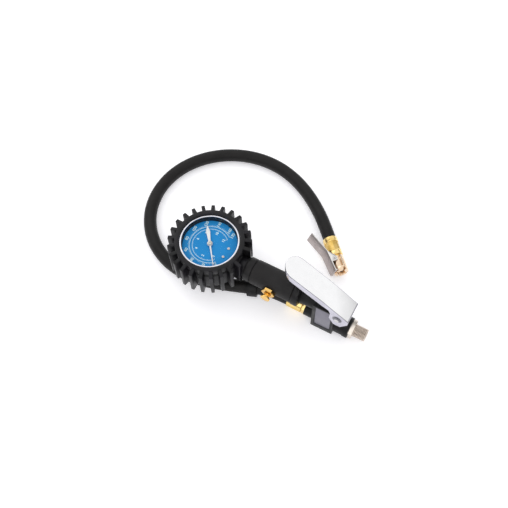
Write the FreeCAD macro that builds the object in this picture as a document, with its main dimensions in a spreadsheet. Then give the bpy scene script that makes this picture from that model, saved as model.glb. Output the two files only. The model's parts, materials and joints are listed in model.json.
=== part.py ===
import FreeCAD, Part
import math
import os
import Sketcher

# Tyre inflator gun: a dial gauge in a ribbed rubber boot, a round grip, a valve block with a
# press lever, a male air inlet, and a short hose that ends in a clip-on tyre chuck.
#
# Millimetres, +Z up, +X from the gauge towards the air inlet. The origin is the middle of the
# gun's footprint, on the surface that it lies on. The gauge's axis is upright. The grip lies
# along X at grip_height, and the inlet and the hose port lie along X at port_height.

SIZES = {
    # gauge: boot, case and window
    "gauge_place": -67.92, "face_height": 55.4, "grip_height": 35.4, "port_height": 11.0,
    "bezel_radius": 30.5, "bezel_opening": 28.6, "bezel_lip": 1.2, "bezel_skirt": 6.0,
    "boot_radius": 35.4, "boot_bottom": 17.6, "boot_floor": 2.4, "boot_rise": 1.9,
    "boot_foot_radius": 30.0, "boot_foot_top": 24.5,
    "rib_reach": 42.8, "rib_width": 3.6, "rib_bottom": 23.6, "rib_top_gap": 1.2,
    "rib_places": 25, "rib_root": 1.2, "boot_boss_radius": 10.0, "boot_boss_gap": 0.4,
    "stem_hole_radius": 7.0,
    "case_radius": 29.5, "case_wall": 1.0, "glass_thickness": 1.5, "gasket_thickness": 0.8,
    "dial_depth": 7.6, "dial_thickness": 0.6, "dial_gap": 0.4,
    # gauge: pointer and movement
    "needle_angle": -52.3, "needle_length": 25.6, "needle_tail": 21.4, "needle_lift": 1.3,
    "needle_thickness": 0.5, "needle_tip_half": 0.35, "needle_root_half": 0.9,
    "tail_half": 2.1, "tail_wide_at": 14.5, "hub_radius": 2.8, "hub_height": 1.5,
    "arbor_radius": 0.6, "stop_radius": 23.2, "stop_angle": -49.9, "stop_pin_radius": 0.5,
    "stop_pin_height": 2.4,
    "gear_module": 0.4, "pinion_teeth": 8, "sector_teeth": 72, "gear_width": 1.2,
    "tooth_root": 0.36, "tooth_middle": 0.21, "tooth_tip": 0.09, "tooth_foot": 1.2,
    "tooth_head": 0.85, "tooth_side": 0.4, "pointer_swing": 270,
    "gear_height": 35.2, "sector_angle": 100.0, "sector_web_half": 3.0, "tail_arm": 5.0,
    "plate_thickness": 1.0, "lower_plate_height": 31.9, "upper_plate_height": 39.5,
    "spacer_radius": 1.4, "spacer_turn": 62, "spacer_far": 12.5, "spacer_near": 11.0,
    "sector_shaft_radius": 0.8, "boss_radius": 1.5,
    "link_thickness": 0.8, "link_lift": 0.3, "link_half": 1.2, "link_pin_radius": 0.6,
    "hairspring_radius": 5.2, "hairspring_height": 37.7, "hairspring_strip": 0.25,
    "hairspring_width": 0.8, "hairspring_turns": 3.5, "hairspring_steps": 24,
    "tube_radius": 21.0, "tube_height": 8.0, "tube_depth": 3.0, "tube_wall": 0.4,
    "tube_start": -22.0, "tube_sweep": 193.0, "tip_sweep": 22.0, "tip_cap_sweep": 1.6,
    "tip_height": 3.0, "tip_hole_back": 4.5,
    "socket_inner": 15.0, "socket_outer": 26.8, "socket_half_width": 9.5,
    "socket_half_height": 6.5, "shelf_reach": 6.0, "shelf_thickness": 3.0, "shelf_half": 8.0,
    "post_radius": 1.8, "screw_one_x": 19.2, "screw_one_y": 4.5, "screw_two_x": 18.9,
    "screw_two_y": -6.3, "dial_screw_radius": 0.8, "dial_screw_head": 1.4,
    "dial_screw_length": 4.0, "plate_screw_radius": 0.9, "plate_screw_x": 12.0,
    "plate_screw_y": 5.0, "plate_screw_length": 2.4, "stem_radius": 5.0, "stem_hold": 8.0,
    "stem_bore": 1.6,
    # grip
    "neck_gap": 0.2, "neck_length": 8.0, "neck_radius": 12.8, "core_radius": 8.8,
    "core_bore": 2.6, "grip_length": 46.5, "grip_radius": 13.0, "collar_length": 7.0,
    "collar_radius": 14.0, "core_gap": 0.6, "edge_chamfer": 0.8,
    # bleed valve on the grip
    "bleed_setback": 23.5, "bleed_across": 12.7, "bleed_hex_start": 13.1, "bleed_hex": 3.0,
    "bleed_shank_radius": 4.5, "bleed_shank_end": 4.2, "bleed_bore": 2.1,
    "bleed_stem_radius": 2.0, "bleed_well_radius": 3.6, "bleed_well_depth": 7.6,
    "bleed_disc_radius": 5.0, "bleed_disc": 1.6, "bleed_face": 22.0,
    "bleed_foot_radius": 3.2, "bleed_foot": 0.9, "bleed_washer": 0.8,
    "bleed_shoulder_radius": 3.2, "bleed_shoulder_in": 1.0, "bleed_wire": 0.3,
    "bleed_turns": 4,
    # valve block
    "stem_length": 16.5, "block_length": 23.5, "block_half": 10.6, "block_height": 46.0,
    "hose_boss_radius": 8.3, "hose_boss_length": 10.0, "inlet_body_length": 10.5,
    "inlet_body_radius": 10.3, "flange_length": 5.0, "flange_radius": 10.9,
    "lug_length": 12.5, "lug_half": 6.0, "lug_radius": 6.4,
    "label_inset": 3.5, "label_bottom": 7.5, "label_top": 44.0, "label_right_inset": 3.0,
    "label_depth": 0.8, "label_thickness": 0.5, "label_gap": 0.15,
    # valve in the block
    "rod_setback": 16.0, "rod_radius": 2.5, "rod_rise": 18.2, "rod_head_radius": 4.5,
    "rod_head": 3.0, "seat_height": 17.0, "seat_thickness": 1.6, "seat_bore": 3.4,
    "chamber_radius": 6.0, "upper_radius": 4.6, "poppet_radius": 4.6, "poppet_thickness": 3.0,
    "washer_thickness": 1.2, "poppet_foot": 1.6,
    "gland_bottom": 31.0, "gland_radius": 5.0, "gland_hex": 4.0, "gland_across": 12.0,
    "gland_well": 2.4, "ring_section": 0.95, "plug_height": 4.0, "plug_radius": 6.4,
    "plug_recess": 0.3, "valve_wire": 0.45, "valve_turns": 4, "passage_radius": 1.7,
    "passage_setback": 4.0, "passage_height": 24.0, "inlet_bore": 4.5, "hose_bore": 3.0,
    # lever
    "pivot_setback": 3.5, "pivot_height": 43.4, "pin_radius": 3.0, "pin_head_radius": 5.2,
    "pin_head": 1.6, "lever_half": 12.0, "lever_wall": 1.2, "lever_slope": 30.0,
    "lever_depth": 9.0, "nose_ahead": 61.6, "nose_rise": 47.6, "knee_ahead": 18.0,
    "knee_rise": 23.5, "tail_behind": 11.5, "tail_rise": 3.5, "skirt_nose_drop": 6.0,
    "skirt_ahead": 10.0, "skirt_rise": 11.0, "ear_ahead": 8.4, "ear_front_drop": 4.1,
    "ear_toe_ahead": 5.7, "ear_toe_drop": 8.6, "ear_drop": 13.4, "ear_behind": 10.9,
    "ear_back_drop": 2.4, "ear_flat_back": 4.0, "ear_flat_front": 3.0, "ear_neck": 0.6,
    # air inlet
    "inlet_hex": 4.5, "inlet_across": 17.5, "thread_radius": 6.82, "thread_root": 6.0,
    "thread_pitch": 1.411, "thread_turns": 9, "thread_land": 0.5, "inlet_through": 3.6,
    "inlet_shank_radius": 6.4, "inlet_shank": 8.0,
    # hose end and clip on the gun
    "nipple_hex": 3.6, "nipple_across": 14.0, "nipple_shank_radius": 5.0,
    "nipple_shank": 5.0, "barb_radius": 4.4, "hose_radius": 7.0, "hose_inside": 3.4,
    "sleeve_radius": 8.0, "sleeve_length": 16.1, "nipple_neck": 0.3,
    "clip_setback": 0.65, "clip_length": 10.0, "clip_tab_half": 4.5,
    # tyre chuck, measured along its own axis from the end of the hose
    "chuck_sleeve_length": 22.0, "chuck_sleeve_radius": 7.8, "chuck_gap": 1.2,
    "chuck_neck_radius": 5.4, "chuck_shank": 2.0, "chuck_length": 41.4, "chuck_radius": 7.6,
    "chuck_mouth": 4.1, "chuck_mouth_depth": 10.0, "chuck_bore": 2.6, "chuck_flat": 5.2,
    "chuck_flat_length": 13.5, "chuck_room": 3.7,
    "chuck_seal_thickness": 3.0, "chuck_seal_radius": 4.8, "chuck_seal_bore": 2.2,
    "chuck_slot": 2.4, "chuck_slot_depth": 3.2, "chuck_pin_radius": 0.9,
    "chuck_pin_inset": 0.5, "chuck_pin_disc": 1.0, "chuck_roll": 68.0,
    "clip_pivot": 26.6, "clip_pivot_out": 5.5, "clip_pin_radius": 1.2, "clip_pin_over": 0.4,
    "clip_half": 6.6, "clip_plate": 1.1, "clip_tail_out": 24.0, "clip_tail_at": -4.3,
    "clip_bend_at": 18.0, "clip_bend_out": 12.9, "clip_jaw_at": 41.4, "clip_jaw_out": 10.4,
    "clip_jaw_drop": 2.4, "clip_ear_front": 31.0, "clip_ear_low": 3.4,
    "clip_ear_half": 2.64, "clip_spring_wire": 0.5,
    "clip_spring_heel": 1.0, "clip_spring_back": 6.0, "clip_spring_rise": 1.5,
    # how shapes are drawn: room past a cut, and the hose's bends and steps
    "cutter_over": 5.0, "bend_share": 0.45, "path_step": 1.0,
    # fits
    "press": 0.02, "slip": 0.05, "soft": 0.15, "loose": 0.3,
}

# The hose's route, from the port's ferrule round the loop to the chuck. Its first three
# points follow the port and the clip under the grip, and the loop lies on the surface.
HOSE_ROUTE = [
    (23.08, 0.0, 11.0), (0.0, 0.0, 11.0), (-21.4, -8.1, 9.6), (-43.3, -15.6, 8.3),
    (-65.5, -21.9, 7.3), (-88.4, -24.3, 7.0), (-111.2, -21.1, 7.0), (-132.2, -11.5, 7.0),
    (-149.5, 3.6, 7.0), (-161.9, 23.0, 7.0), (-168.3, 45.1, 7.0), (-168.2, 68.2, 7.0),
    (-161.6, 90.3, 7.0), (-149.3, 109.7, 7.0), (-132.5, 125.4, 7.0), (-112.3, 136.6, 7.0),
    (-90.1, 142.7, 7.0), (-67.1, 143.3, 7.0), (-44.6, 138.4, 7.0), (-23.6, 128.8, 7.0),
    (-4.6, 115.9, 7.3), (12.8, 100.8, 7.9), (28.6, 84.0, 7.9),
]


class Size:
    """A number together with the sheet formula that keeps it up to date."""

    def __init__(self, number, formula):
        self.number = float(number)
        self.formula = formula

    def __add__(self, other):
        other = as_size(other)
        return Size(self.number + other.number, f"({self.formula} + {other.formula})")

    def __radd__(self, other):
        return as_size(other) + self

    def __sub__(self, other):
        other = as_size(other)
        return Size(self.number - other.number, f"({self.formula} - {other.formula})")

    def __rsub__(self, other):
        return as_size(other) - self

    def __mul__(self, other):
        other = as_size(other)
        return Size(self.number * other.number, f"({self.formula} * {other.formula})")

    def __rmul__(self, other):
        return as_size(other) * self

    def __truediv__(self, other):
        other = as_size(other)
        return Size(self.number / other.number, f"({self.formula} / {other.formula})")

    def __rtruediv__(self, other):
        return as_size(other) / self

    def __neg__(self):
        return Size(-self.number, f"(0 - {self.formula})")

    def __float__(self):
        return self.number


def as_size(value):
    """A plain number as a Size, so that numbers and sizes mix in one formula."""
    return value if isinstance(value, Size) else Size(value, repr(float(value)))


def cosine(angle):
    """Cosine of an angle in degrees."""
    angle = as_size(angle)
    return Size(math.cos(math.radians(angle.number)), f"cos({angle.formula})")


def sine(angle):
    """Sine of an angle in degrees."""
    angle = as_size(angle)
    return Size(math.sin(math.radians(angle.number)), f"sin({angle.formula})")


def root(value):
    """Square root."""
    return Size(math.sqrt(value.number), f"sqrt({value.formula})")


doc = FreeCAD.newDocument("tyre_inflator_gun")
sheet = doc.addObject("Spreadsheet::Sheet", "sizes")
for row, (alias, value) in enumerate(SIZES.items(), start=1):
    sheet.set(f"A{row}", alias)
    sheet.set(f"B{row}", str(value))
    sheet.setAlias(f"B{row}", alias)
doc.recompute()


class Named:
    """The sheet's sizes by name, so that s.grip_radius reads cell grip_radius."""

    def __getattr__(self, alias):
        return Size(sheet.get(alias), f"sizes.{alias}")


s = Named()
pieces = {}


# ---------------------------------------------------------------- helpers

def bind(thing, prop, value):
    """Give a property its value and tie it to the sheet."""
    thing.setExpression(prop, as_size(value).formula)


def put(thing, x=0, y=0, z=0):
    """Place an object, tied to the sheet."""
    for axis, value in zip("xyz", (x, y, z)):
        bind(thing, f"Placement.Base.{axis}", value)
    return thing


def spin(thing, angle):
    """Turn an object about the upright axis, tied to the sheet."""
    thing.Placement.Rotation = FreeCAD.Rotation(FreeCAD.Vector(0, 0, 1), float(angle) % 360)
    about = thing.Placement.Rotation.Axis.z
    bind(thing, "Placement.Rotation.Angle", as_size(angle) * about)
    return thing


def origin_plane(body, role):
    """One of a body's own origin planes."""
    return next(f for f in body.Origin.OriginFeatures if f.Role == role)


def outline(body, plane, *loops):
    """A sketch of closed loops, each corner held by two distances from the origin."""
    sketch = body.newObject("Sketcher::SketchObject", body.Name + "_outline")
    sketch.AttachmentSupport = (origin_plane(body, plane), [""])
    sketch.MapMode = "FlatFace"
    first = 0
    for loop in loops:
        corners = [(as_size(u), as_size(v)) for u, v in loop]
        points = [FreeCAD.Vector(u.number, v.number, 0) for u, v in corners]
        count = len(points)
        for i in range(count):
            sketch.addGeometry(Part.LineSegment(points[i], points[(i + 1) % count]), False)
        for i in range(count):
            joint = ("Coincident", first + i, 2, first + (i + 1) % count, 1)
            sketch.addConstraint(Sketcher.Constraint(*joint))
        for i, corner in enumerate(corners):
            for kind, value in zip(("DistanceX", "DistanceY"), corner):
                held = Sketcher.Constraint(kind, -1, 1, first + i, 1, value.number)
                index = sketch.addConstraint(held)
                sketch.setExpression(f"Constraints[{index}]", value.formula)
        first += count
    return sketch


TURNING = {"X": ("XZ_Plane", "H_Axis"), "Y": ("YZ_Plane", "H_Axis"), "Z": ("XZ_Plane", "V_Axis")}


def turned(name, axis, *loops, sweep=360):
    """A body turned about its X, Y or Z axis. Corners are (along, radius), or for Z
    (radius, height)."""
    body = doc.addObject("PartDesign::Body", name)
    plane, line = TURNING[axis]
    sketch = outline(body, plane, *loops)
    turn = body.newObject("PartDesign::Revolution", name + "_turn")
    turn.Profile = sketch
    turn.ReferenceAxis = (sketch, [line])
    bind(turn, "Angle", sweep)
    return body


def padded(name, plane, length, *loops, both=False):
    """A body of one outline pushed out along its plane's normal."""
    body = doc.addObject("PartDesign::Body", name)
    pad = body.newObject("PartDesign::Pad", name + "_pad")
    pad.Profile = outline(body, plane, *loops)
    bind(pad, "Length", length)
    if both:
        pad.SideType = "Symmetric"
    return body


AXIS_TURN = {
    "X": FreeCAD.Rotation(FreeCAD.Vector(0, 1, 0), 90),
    "Y": FreeCAD.Rotation(FreeCAD.Vector(1, 0, 0), -90),
    "Z": FreeCAD.Rotation(),
}


def rod(name, axis, radius, length, x=0, y=0, z=0):
    """A plain cylinder from a point along an axis."""
    piece = doc.addObject("Part::Cylinder", name)
    piece.Placement.Rotation = AXIS_TURN[axis]
    bind(piece, "Radius", radius)
    bind(piece, "Height", length)
    return put(piece, x, y, z)


def hexagon(name, axis, across, length, x=0, y=0, z=0):
    """A six-sided bar, by its width across flats."""
    piece = doc.addObject("Part::Prism", name)
    piece.Polygon = 6
    piece.Placement.Rotation = AXIS_TURN[axis]
    bind(piece, "Circumradius", as_size(across) / 2 / cosine(30))
    bind(piece, "Height", length)
    return put(piece, x, y, z)


def block(name, low, high):
    """A box between two opposite corners."""
    piece = doc.addObject("Part::Box", name)
    for prop, a, b in zip(("Length", "Width", "Height"), low, high):
        bind(piece, prop, as_size(b) - as_size(a))
    return put(piece, *low)


def joined(name, *things):
    """One solid from several that meet or overlap."""
    fuse = doc.addObject("Part::MultiFuse", name)
    fuse.Shapes = list(things)
    return fuse


def cut(name, base, *tools):
    """A solid with one or more others taken away."""
    tool = tools[0] if len(tools) == 1 else joined(name + "_tools", *tools)
    result = doc.addObject("Part::Cut", name)
    result.Base = base
    result.Tool = tool
    return result


def shared(name, one, other):
    """What two solids have in common."""
    common = doc.addObject("Part::Common", name)
    common.Base = one
    common.Tool = other
    return common


def group(name, *things):
    """Separate solids kept together in one object."""
    compound = doc.addObject("Part::Compound", name)
    compound.Links = list(things)
    return compound


def keep(node, thing):
    """Name a finished sub-part and list it for export."""
    thing.Label = node
    pieces[node] = thing
    return thing


def spring(node, centre, axis, coil_radius, wire, length, turns):
    """A helical spring whose first coil starts at a point and that climbs along an axis."""
    helix = Part.makeLongHelix(length / turns, length, coil_radius)
    start = FreeCAD.Vector(coil_radius, 0, 0)
    lean = FreeCAD.Vector(0, coil_radius * 2 * math.pi, length / turns)
    ring = Part.Wire([Part.makeCircle(wire, start, lean)])
    coil = Part.Wire(helix).makePipeShell([ring], True, True)
    piece = doc.addObject("Part::Feature", node)
    piece.Shape = coil
    piece.Placement = FreeCAD.Placement(FreeCAD.Vector(*centre), AXIS_TURN[axis])
    return keep(node, piece)


# ---------------------------------------------------------------- stations along the gun

half_place = 180 / s.rib_places
neck_start = s.rib_reach + s.neck_gap
neck_end = neck_start + s.neck_length
stem_end = neck_start + s.stem_hold
bleed_reach = neck_end + s.bleed_setback
grip_end = neck_end + s.grip_length
collar_end = grip_end + s.collar_length
block_front = collar_end + s.stem_length
block_back = block_front + s.block_length
inlet_body_end = block_back + s.inlet_body_length
flange_end = inlet_body_end + s.flange_length
hex_end = flange_end + s.inlet_hex
inlet_end = hex_end + s.thread_land + s.thread_turns * s.thread_pitch
gauge_x = s.gauge_place


def station(distance):
    """A distance from the gauge's axis as an X coordinate."""
    return gauge_x + distance


# ---------------------------------------------------------------- gauge: boot, case, window

case_top = s.face_height - s.bezel_lip - s.glass_thickness - s.gasket_thickness
case_floor = s.boot_bottom + s.boot_floor
dial_top = s.face_height - s.dial_depth
dial_under = dial_top - s.dial_thickness
skirt_radius = s.case_radius + s.slip


def gauge_boot():
    """Ribbed rubber cup that takes the gauge, with a hole for its stem."""
    top = s.face_height + s.boot_rise
    step = s.face_height - s.bezel_skirt - s.slip
    inside = s.case_radius + s.soft
    mouth = s.bezel_radius + s.soft
    cup = turned("boot_cup", "Z", [
        (0, s.boot_bottom), (s.boot_foot_radius, s.boot_bottom),
        (s.boot_radius, s.boot_foot_top), (s.boot_radius, top), (mouth, top),
        (mouth, step), (inside, step), (inside, case_floor), (0, case_floor)])
    put(cup, gauge_x)
    ribs = padded("boot_ribs", "XY_Plane", top - s.rib_top_gap - s.rib_bottom, [
        (s.boot_radius - s.rib_root, -s.rib_width / 2), (s.rib_reach, -s.rib_width / 2),
        (s.rib_reach, s.rib_width / 2), (s.boot_radius - s.rib_root, s.rib_width / 2)])
    pattern = ribs.newObject("PartDesign::PolarPattern", "boot_rib_pattern")
    pattern.Originals = [ribs.Tip]
    pattern.Axis = (next(f for f in ribs.Origin.OriginFeatures if f.Role == "Z_Axis"), [""])
    bind(pattern, "Angle", 360 * (s.rib_places - 2) / s.rib_places)
    bind(pattern, "Occurrences", s.rib_places - 1)
    ribs.Tip = pattern
    put(ribs, gauge_x, 0, s.rib_bottom)
    spin(ribs, 2 * half_place)
    boss_start = s.boot_radius - s.rib_root
    boss = rod("boot_boss", "X", s.boot_boss_radius, neck_start - s.boot_boss_gap - boss_start,
               station(boss_start), 0, s.grip_height)
    hollow = rod("boot_hollow", "Z", inside, step - case_floor, gauge_x, 0, case_floor)
    stem_hole = rod("boot_stem_hole", "X", s.stem_hole_radius, neck_start,
                    station(0), 0, s.grip_height)
    whole = joined("boot_whole", cup, ribs, cut("boot_boss_trimmed", boss, hollow))
    keep("gauge_boot", cut("gauge_boot", whole, stem_hole))


def gauge_case():
    """Steel cup that holds the works."""
    inner = s.case_radius - s.case_wall
    floor = case_floor + s.case_wall
    cup = turned("case_cup", "Z", [
        (0, case_floor), (s.case_radius, case_floor), (s.case_radius, case_top),
        (inner, case_top), (inner, floor), (0, floor)])
    put(cup, gauge_x)
    stem_hole = rod("case_stem_hole", "X", s.stem_radius + s.slip, s.rib_reach,
                    station(0), 0, s.grip_height)
    keep("gauge_case", cut("gauge_case", cup, stem_hole))


def bezel_and_glass():
    """Snap-on ring, flat glass and the gasket between the glass and the case's rim."""
    under_lip = s.face_height - s.bezel_lip
    ring = turned("bezel_ring", "Z", [
        (s.bezel_opening, under_lip), (skirt_radius, under_lip),
        (skirt_radius, s.face_height - s.bezel_skirt),
        (s.bezel_radius, s.face_height - s.bezel_skirt), (s.bezel_radius, s.face_height),
        (s.bezel_opening, s.face_height)])
    keep("bezel_ring", put(ring, gauge_x))
    glass_under = under_lip - s.glass_thickness
    glass = rod("gauge_glass", "Z", s.case_radius - s.slip, s.glass_thickness,
                gauge_x, 0, glass_under)
    keep("gauge_glass", glass)
    gasket = turned("glass_gasket", "Z", [
        (s.case_radius - s.case_wall, case_top), (s.case_radius - s.slip, case_top),
        (s.case_radius - s.slip, glass_under), (s.case_radius - s.case_wall, glass_under)])
    keep("glass_gasket", put(gasket, gauge_x))


def on_dial(radius, angle):
    """A point on the dial, from the gauge's axis and the angle from +X."""
    return gauge_x + radius * cosine(angle), radius * sine(angle)


def dial_screw_places():
    """Where the two dial screws and their posts stand."""
    return ((station(s.screw_one_x), s.screw_one_y), (station(s.screw_two_x), s.screw_two_y))


def dial():
    """Printed plate with its two screws and the pin that stops the pointer at zero."""
    radius = s.case_radius - s.case_wall - s.dial_gap
    plate = rod("dial_disc", "Z", radius, s.dial_thickness, gauge_x, 0, dial_under)
    holes = [rod("dial_arbor_hole", "Z", s.boss_radius, s.dial_thickness, gauge_x, 0, dial_under)]
    screws = []
    for i, (x, y) in enumerate(dial_screw_places()):
        holes.append(rod(f"dial_screw_hole_{i}", "Z", s.dial_screw_radius + s.slip,
                         s.dial_thickness, x, y, dial_under))
        shank = rod(f"dial_shank_{i}", "Z", s.dial_screw_radius, s.dial_screw_length,
                    x, y, dial_top - s.dial_screw_length)
        head = rod(f"dial_head_{i}", "Z", s.dial_screw_head, s.dial_screw_radius, x, y, dial_top)
        screws.append(joined(f"dial_screw_{i}", shank, head))
    stop_x, stop_y = on_dial(s.stop_radius, s.stop_angle)
    holes.append(rod("stop_hole", "Z", s.stop_pin_radius + s.press, s.dial_thickness,
                     stop_x, stop_y, dial_under))
    stop = rod("pointer_stop", "Z", s.stop_pin_radius, s.stop_pin_height, stop_x, stop_y, dial_under)
    keep("dial_plate", cut("dial_plate", plate, *holes))
    keep("dial_screws", group("dial_screws", *screws))
    keep("pointer_stop", stop)


# ---------------------------------------------------------------- gauge: pointer and works

pointer_height = dial_top + s.needle_lift
pinion_pitch = s.gear_module * s.pinion_teeth / 2
sector_pitch = s.gear_module * s.sector_teeth / 2
gear_distance = pinion_pitch + sector_pitch
sector_x = gauge_x + gear_distance * cosine(s.sector_angle)
sector_y = gear_distance * sine(s.sector_angle)
upper_plate_top = s.upper_plate_height + s.plate_thickness
lower_plate_top = s.lower_plate_height + s.plate_thickness


def pointer():
    """Needle with a thin long end, a broad short tail and a round hub."""
    blade = padded("needle_blade", "XY_Plane", s.needle_thickness, [
        (s.needle_length, -s.needle_tip_half), (s.needle_length, s.needle_tip_half),
        (0, s.needle_root_half), (-s.tail_wide_at, s.tail_half),
        (-s.needle_tail, s.needle_tip_half), (-s.needle_tail, -s.needle_tip_half),
        (-s.tail_wide_at, -s.tail_half), (0, -s.needle_root_half)])
    put(blade, gauge_x, 0, pointer_height)
    spin(blade, s.needle_angle)
    hub = rod("needle_hub", "Z", s.hub_radius, s.hub_height, gauge_x, 0, pointer_height)
    hole = rod("needle_hole", "Z", s.arbor_radius + s.press, s.hub_height - s.needle_thickness,
               gauge_x, 0, pointer_height)
    keep("pointer", cut("pointer", joined("needle_whole", blade, hub), hole))


def gear_points(teeth, first_angle, count, turn):
    """Corners of a run of straight-sided teeth about the origin, with room to mesh."""
    module = float(s.gear_module)
    pitch = module * teeth / 2
    tooth = 360 / teeth
    half = ((float(s.tooth_tip), pitch + float(s.tooth_head) * module),
            (float(s.tooth_middle), pitch),
            (float(s.tooth_root), pitch - float(s.tooth_foot) * module))
    shape = [(-share, radius) for share, radius in half[::-1]] + list(half)
    points = []
    for i in range(count):
        for share, radius in shape:
            angle = math.radians(first_angle + (i + turn + share) * tooth)
            points.append(FreeCAD.Vector(radius * math.cos(angle), radius * math.sin(angle), 0))
    return points


def pinion_arbor():
    """Arbor that carries the pointer, cut with the pinion's teeth."""
    teeth = int(s.pinion_teeth.number)
    toward_sector = float(s.sector_angle)
    points = gear_points(teeth, toward_sector, teeth, 0)
    face = Part.Face(Part.makePolygon(points + points[:1]))
    gear = face.extrude(FreeCAD.Vector(0, 0, float(s.gear_width)))
    gear.translate(FreeCAD.Vector(0, 0, float(s.gear_height)))
    low = float(s.lower_plate_height)
    high = float(pointer_height + s.hub_height - s.needle_thickness)
    shaft = Part.makeCylinder(float(s.arbor_radius), high - low, FreeCAD.Vector(0, 0, low))
    piece = doc.addObject("Part::Feature", "pinion_arbor")
    piece.Shape = shaft.fuse(gear).removeSplitter()
    keep("pinion_arbor", put(piece, gauge_x))


def sector_gear():
    """Toothed sector with its web, its shaft and the arm that the link pulls."""
    inward = float(s.sector_angle) - 180
    tooth = 360 / float(s.sector_teeth)
    swing = float(s.pointer_swing) * float(s.pinion_teeth) / float(s.sector_teeth)
    spare = 1
    count = int(swing / tooth) + 2 * spare + 1
    first = inward - swing - spare * tooth
    points = gear_points(int(s.sector_teeth.number), first, count, 0.5)
    side_share = float(s.tooth_side)
    last = math.radians(first + (count - 0.5 + side_share) * tooth)
    start = math.radians(first + (0.5 - side_share) * tooth)
    rim = float(sector_pitch) - float(s.sector_web_half)
    inner = [FreeCAD.Vector(rim * math.cos(a), rim * math.sin(a), 0) for a in (last, start)]
    face = Part.Face(Part.makePolygon([*points, *inner, points[0]]))
    width = FreeCAD.Vector(0, 0, float(s.gear_width))
    middle = (start + last) / 2
    across = FreeCAD.Vector(-math.sin(middle), math.cos(middle), 0) * float(s.boss_radius)
    web = Part.Face(Part.makePolygon([across, inner[0], inner[1], across * -1, across]))
    outward = math.radians(float(s.sector_angle))
    along = FreeCAD.Vector(math.cos(outward), math.sin(outward), 0)
    side = FreeCAD.Vector(-along.y, along.x, 0) * float(s.link_half)
    end = along * float(s.tail_arm)
    arm = Part.Face(Part.makePolygon([side, side * -1, end - side, end + side, side]))
    body = face.extrude(width)
    for flat in (web, arm):
        body = body.fuse(flat.extrude(width))
    body = body.fuse(Part.makeCylinder(float(s.boss_radius), width.z))
    body = body.fuse(Part.makeCylinder(float(s.link_half), width.z, end))
    pin_height = width.z + float(s.link_lift) + float(s.link_thickness)
    body = body.fuse(Part.makeCylinder(float(s.link_pin_radius), pin_height, end))
    low = float(s.lower_plate_height - s.gear_height)
    high = float(upper_plate_top - s.gear_height)
    shaft = Part.makeCylinder(float(s.sector_shaft_radius), high - low, FreeCAD.Vector(0, 0, low))
    piece = doc.addObject("Part::Feature", "sector_gear")
    piece.Shape = body.fuse(shaft).removeSplitter()
    keep("sector_gear", put(piece, sector_x, sector_y, s.gear_height))


def around(radius, angle):
    """A point about the gauge's axis at tube level, as plain numbers."""
    turn = math.radians(angle)
    return FreeCAD.Vector(float(gauge_x) + radius * math.cos(turn), radius * math.sin(turn), 0)


def tip_hole_angle():
    """Where the link's far end lies over the Bourdon tube's tip."""
    return float(s.tube_start - s.tube_sweep - s.tip_sweep + s.tip_hole_back)


def connecting_link():
    """Flat link from the sector's arm to the Bourdon tube's tip."""
    outward = math.radians(float(s.sector_angle))
    arm = FreeCAD.Vector(math.cos(outward), math.sin(outward), 0) * float(s.tail_arm)
    near = FreeCAD.Vector(float(sector_x), float(sector_y), 0) + arm
    far = around(float(s.tube_radius), tip_hole_angle())
    along = (far - near).normalize()
    side = FreeCAD.Vector(-along.y, along.x, 0) * float(s.link_half)
    bar = Part.Face(Part.makePolygon([near + side, near - side, far - side, far + side, near + side]))
    thick = float(s.link_thickness)
    link = bar.extrude(FreeCAD.Vector(0, 0, thick))
    for end in (near, far):
        link = link.fuse(Part.makeCylinder(float(s.link_half), thick, end))
    for end in (near, far):
        link = link.cut(Part.makeCylinder(float(s.link_pin_radius + s.slip), thick, end))
    piece = doc.addObject("Part::Feature", "connecting_link")
    piece.Shape = link.removeSplitter()
    keep("connecting_link", put(piece, 0, 0, s.gear_height + s.gear_width + s.link_lift))


def bourdon_tube():
    """Flattened C-shaped tube, soldered into the socket, with its closing tip."""
    low = s.grip_height - s.tube_height / 2
    high = s.grip_height + s.tube_height / 2
    near = s.tube_radius - s.tube_depth / 2
    far = s.tube_radius + s.tube_depth / 2
    wall = s.tube_wall
    tube = turned("bourdon_tube", "Z",
                  [(near, low), (far, low), (far, high), (near, high)],
                  [(near + wall, low + wall), (far - wall, low + wall),
                   (far - wall, high - wall), (near + wall, high - wall)], sweep=s.tube_sweep)
    put(tube, gauge_x)
    end = s.tube_start - s.tube_sweep
    spin(tube, end)
    keep("bourdon_tube", tube)
    top = s.gear_height + s.gear_width
    bracket = turned("tip_bracket", "Z", [
        (near, top - s.tip_height), (far, top - s.tip_height), (far, top), (near, top)],
        sweep=s.tip_sweep)
    cap = turned("tip_cap", "Z", [(near, low), (far, low), (far, high), (near, high)],
                 sweep=s.tip_cap_sweep)
    for part, sweep in ((bracket, s.tip_sweep), (cap, s.tip_cap_sweep)):
        put(part, gauge_x)
        spin(part, end - sweep)
    hole_angle = end - s.tip_sweep + s.tip_hole_back
    hole = rod("tip_hole", "Z", s.link_pin_radius + s.slip, s.tip_height,
               gauge_x + s.tube_radius * cosine(hole_angle),
               s.tube_radius * sine(hole_angle), top - s.tip_height)
    keep("bourdon_tip", cut("bourdon_tip", joined("tip_whole", bracket, cap), hole))


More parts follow.
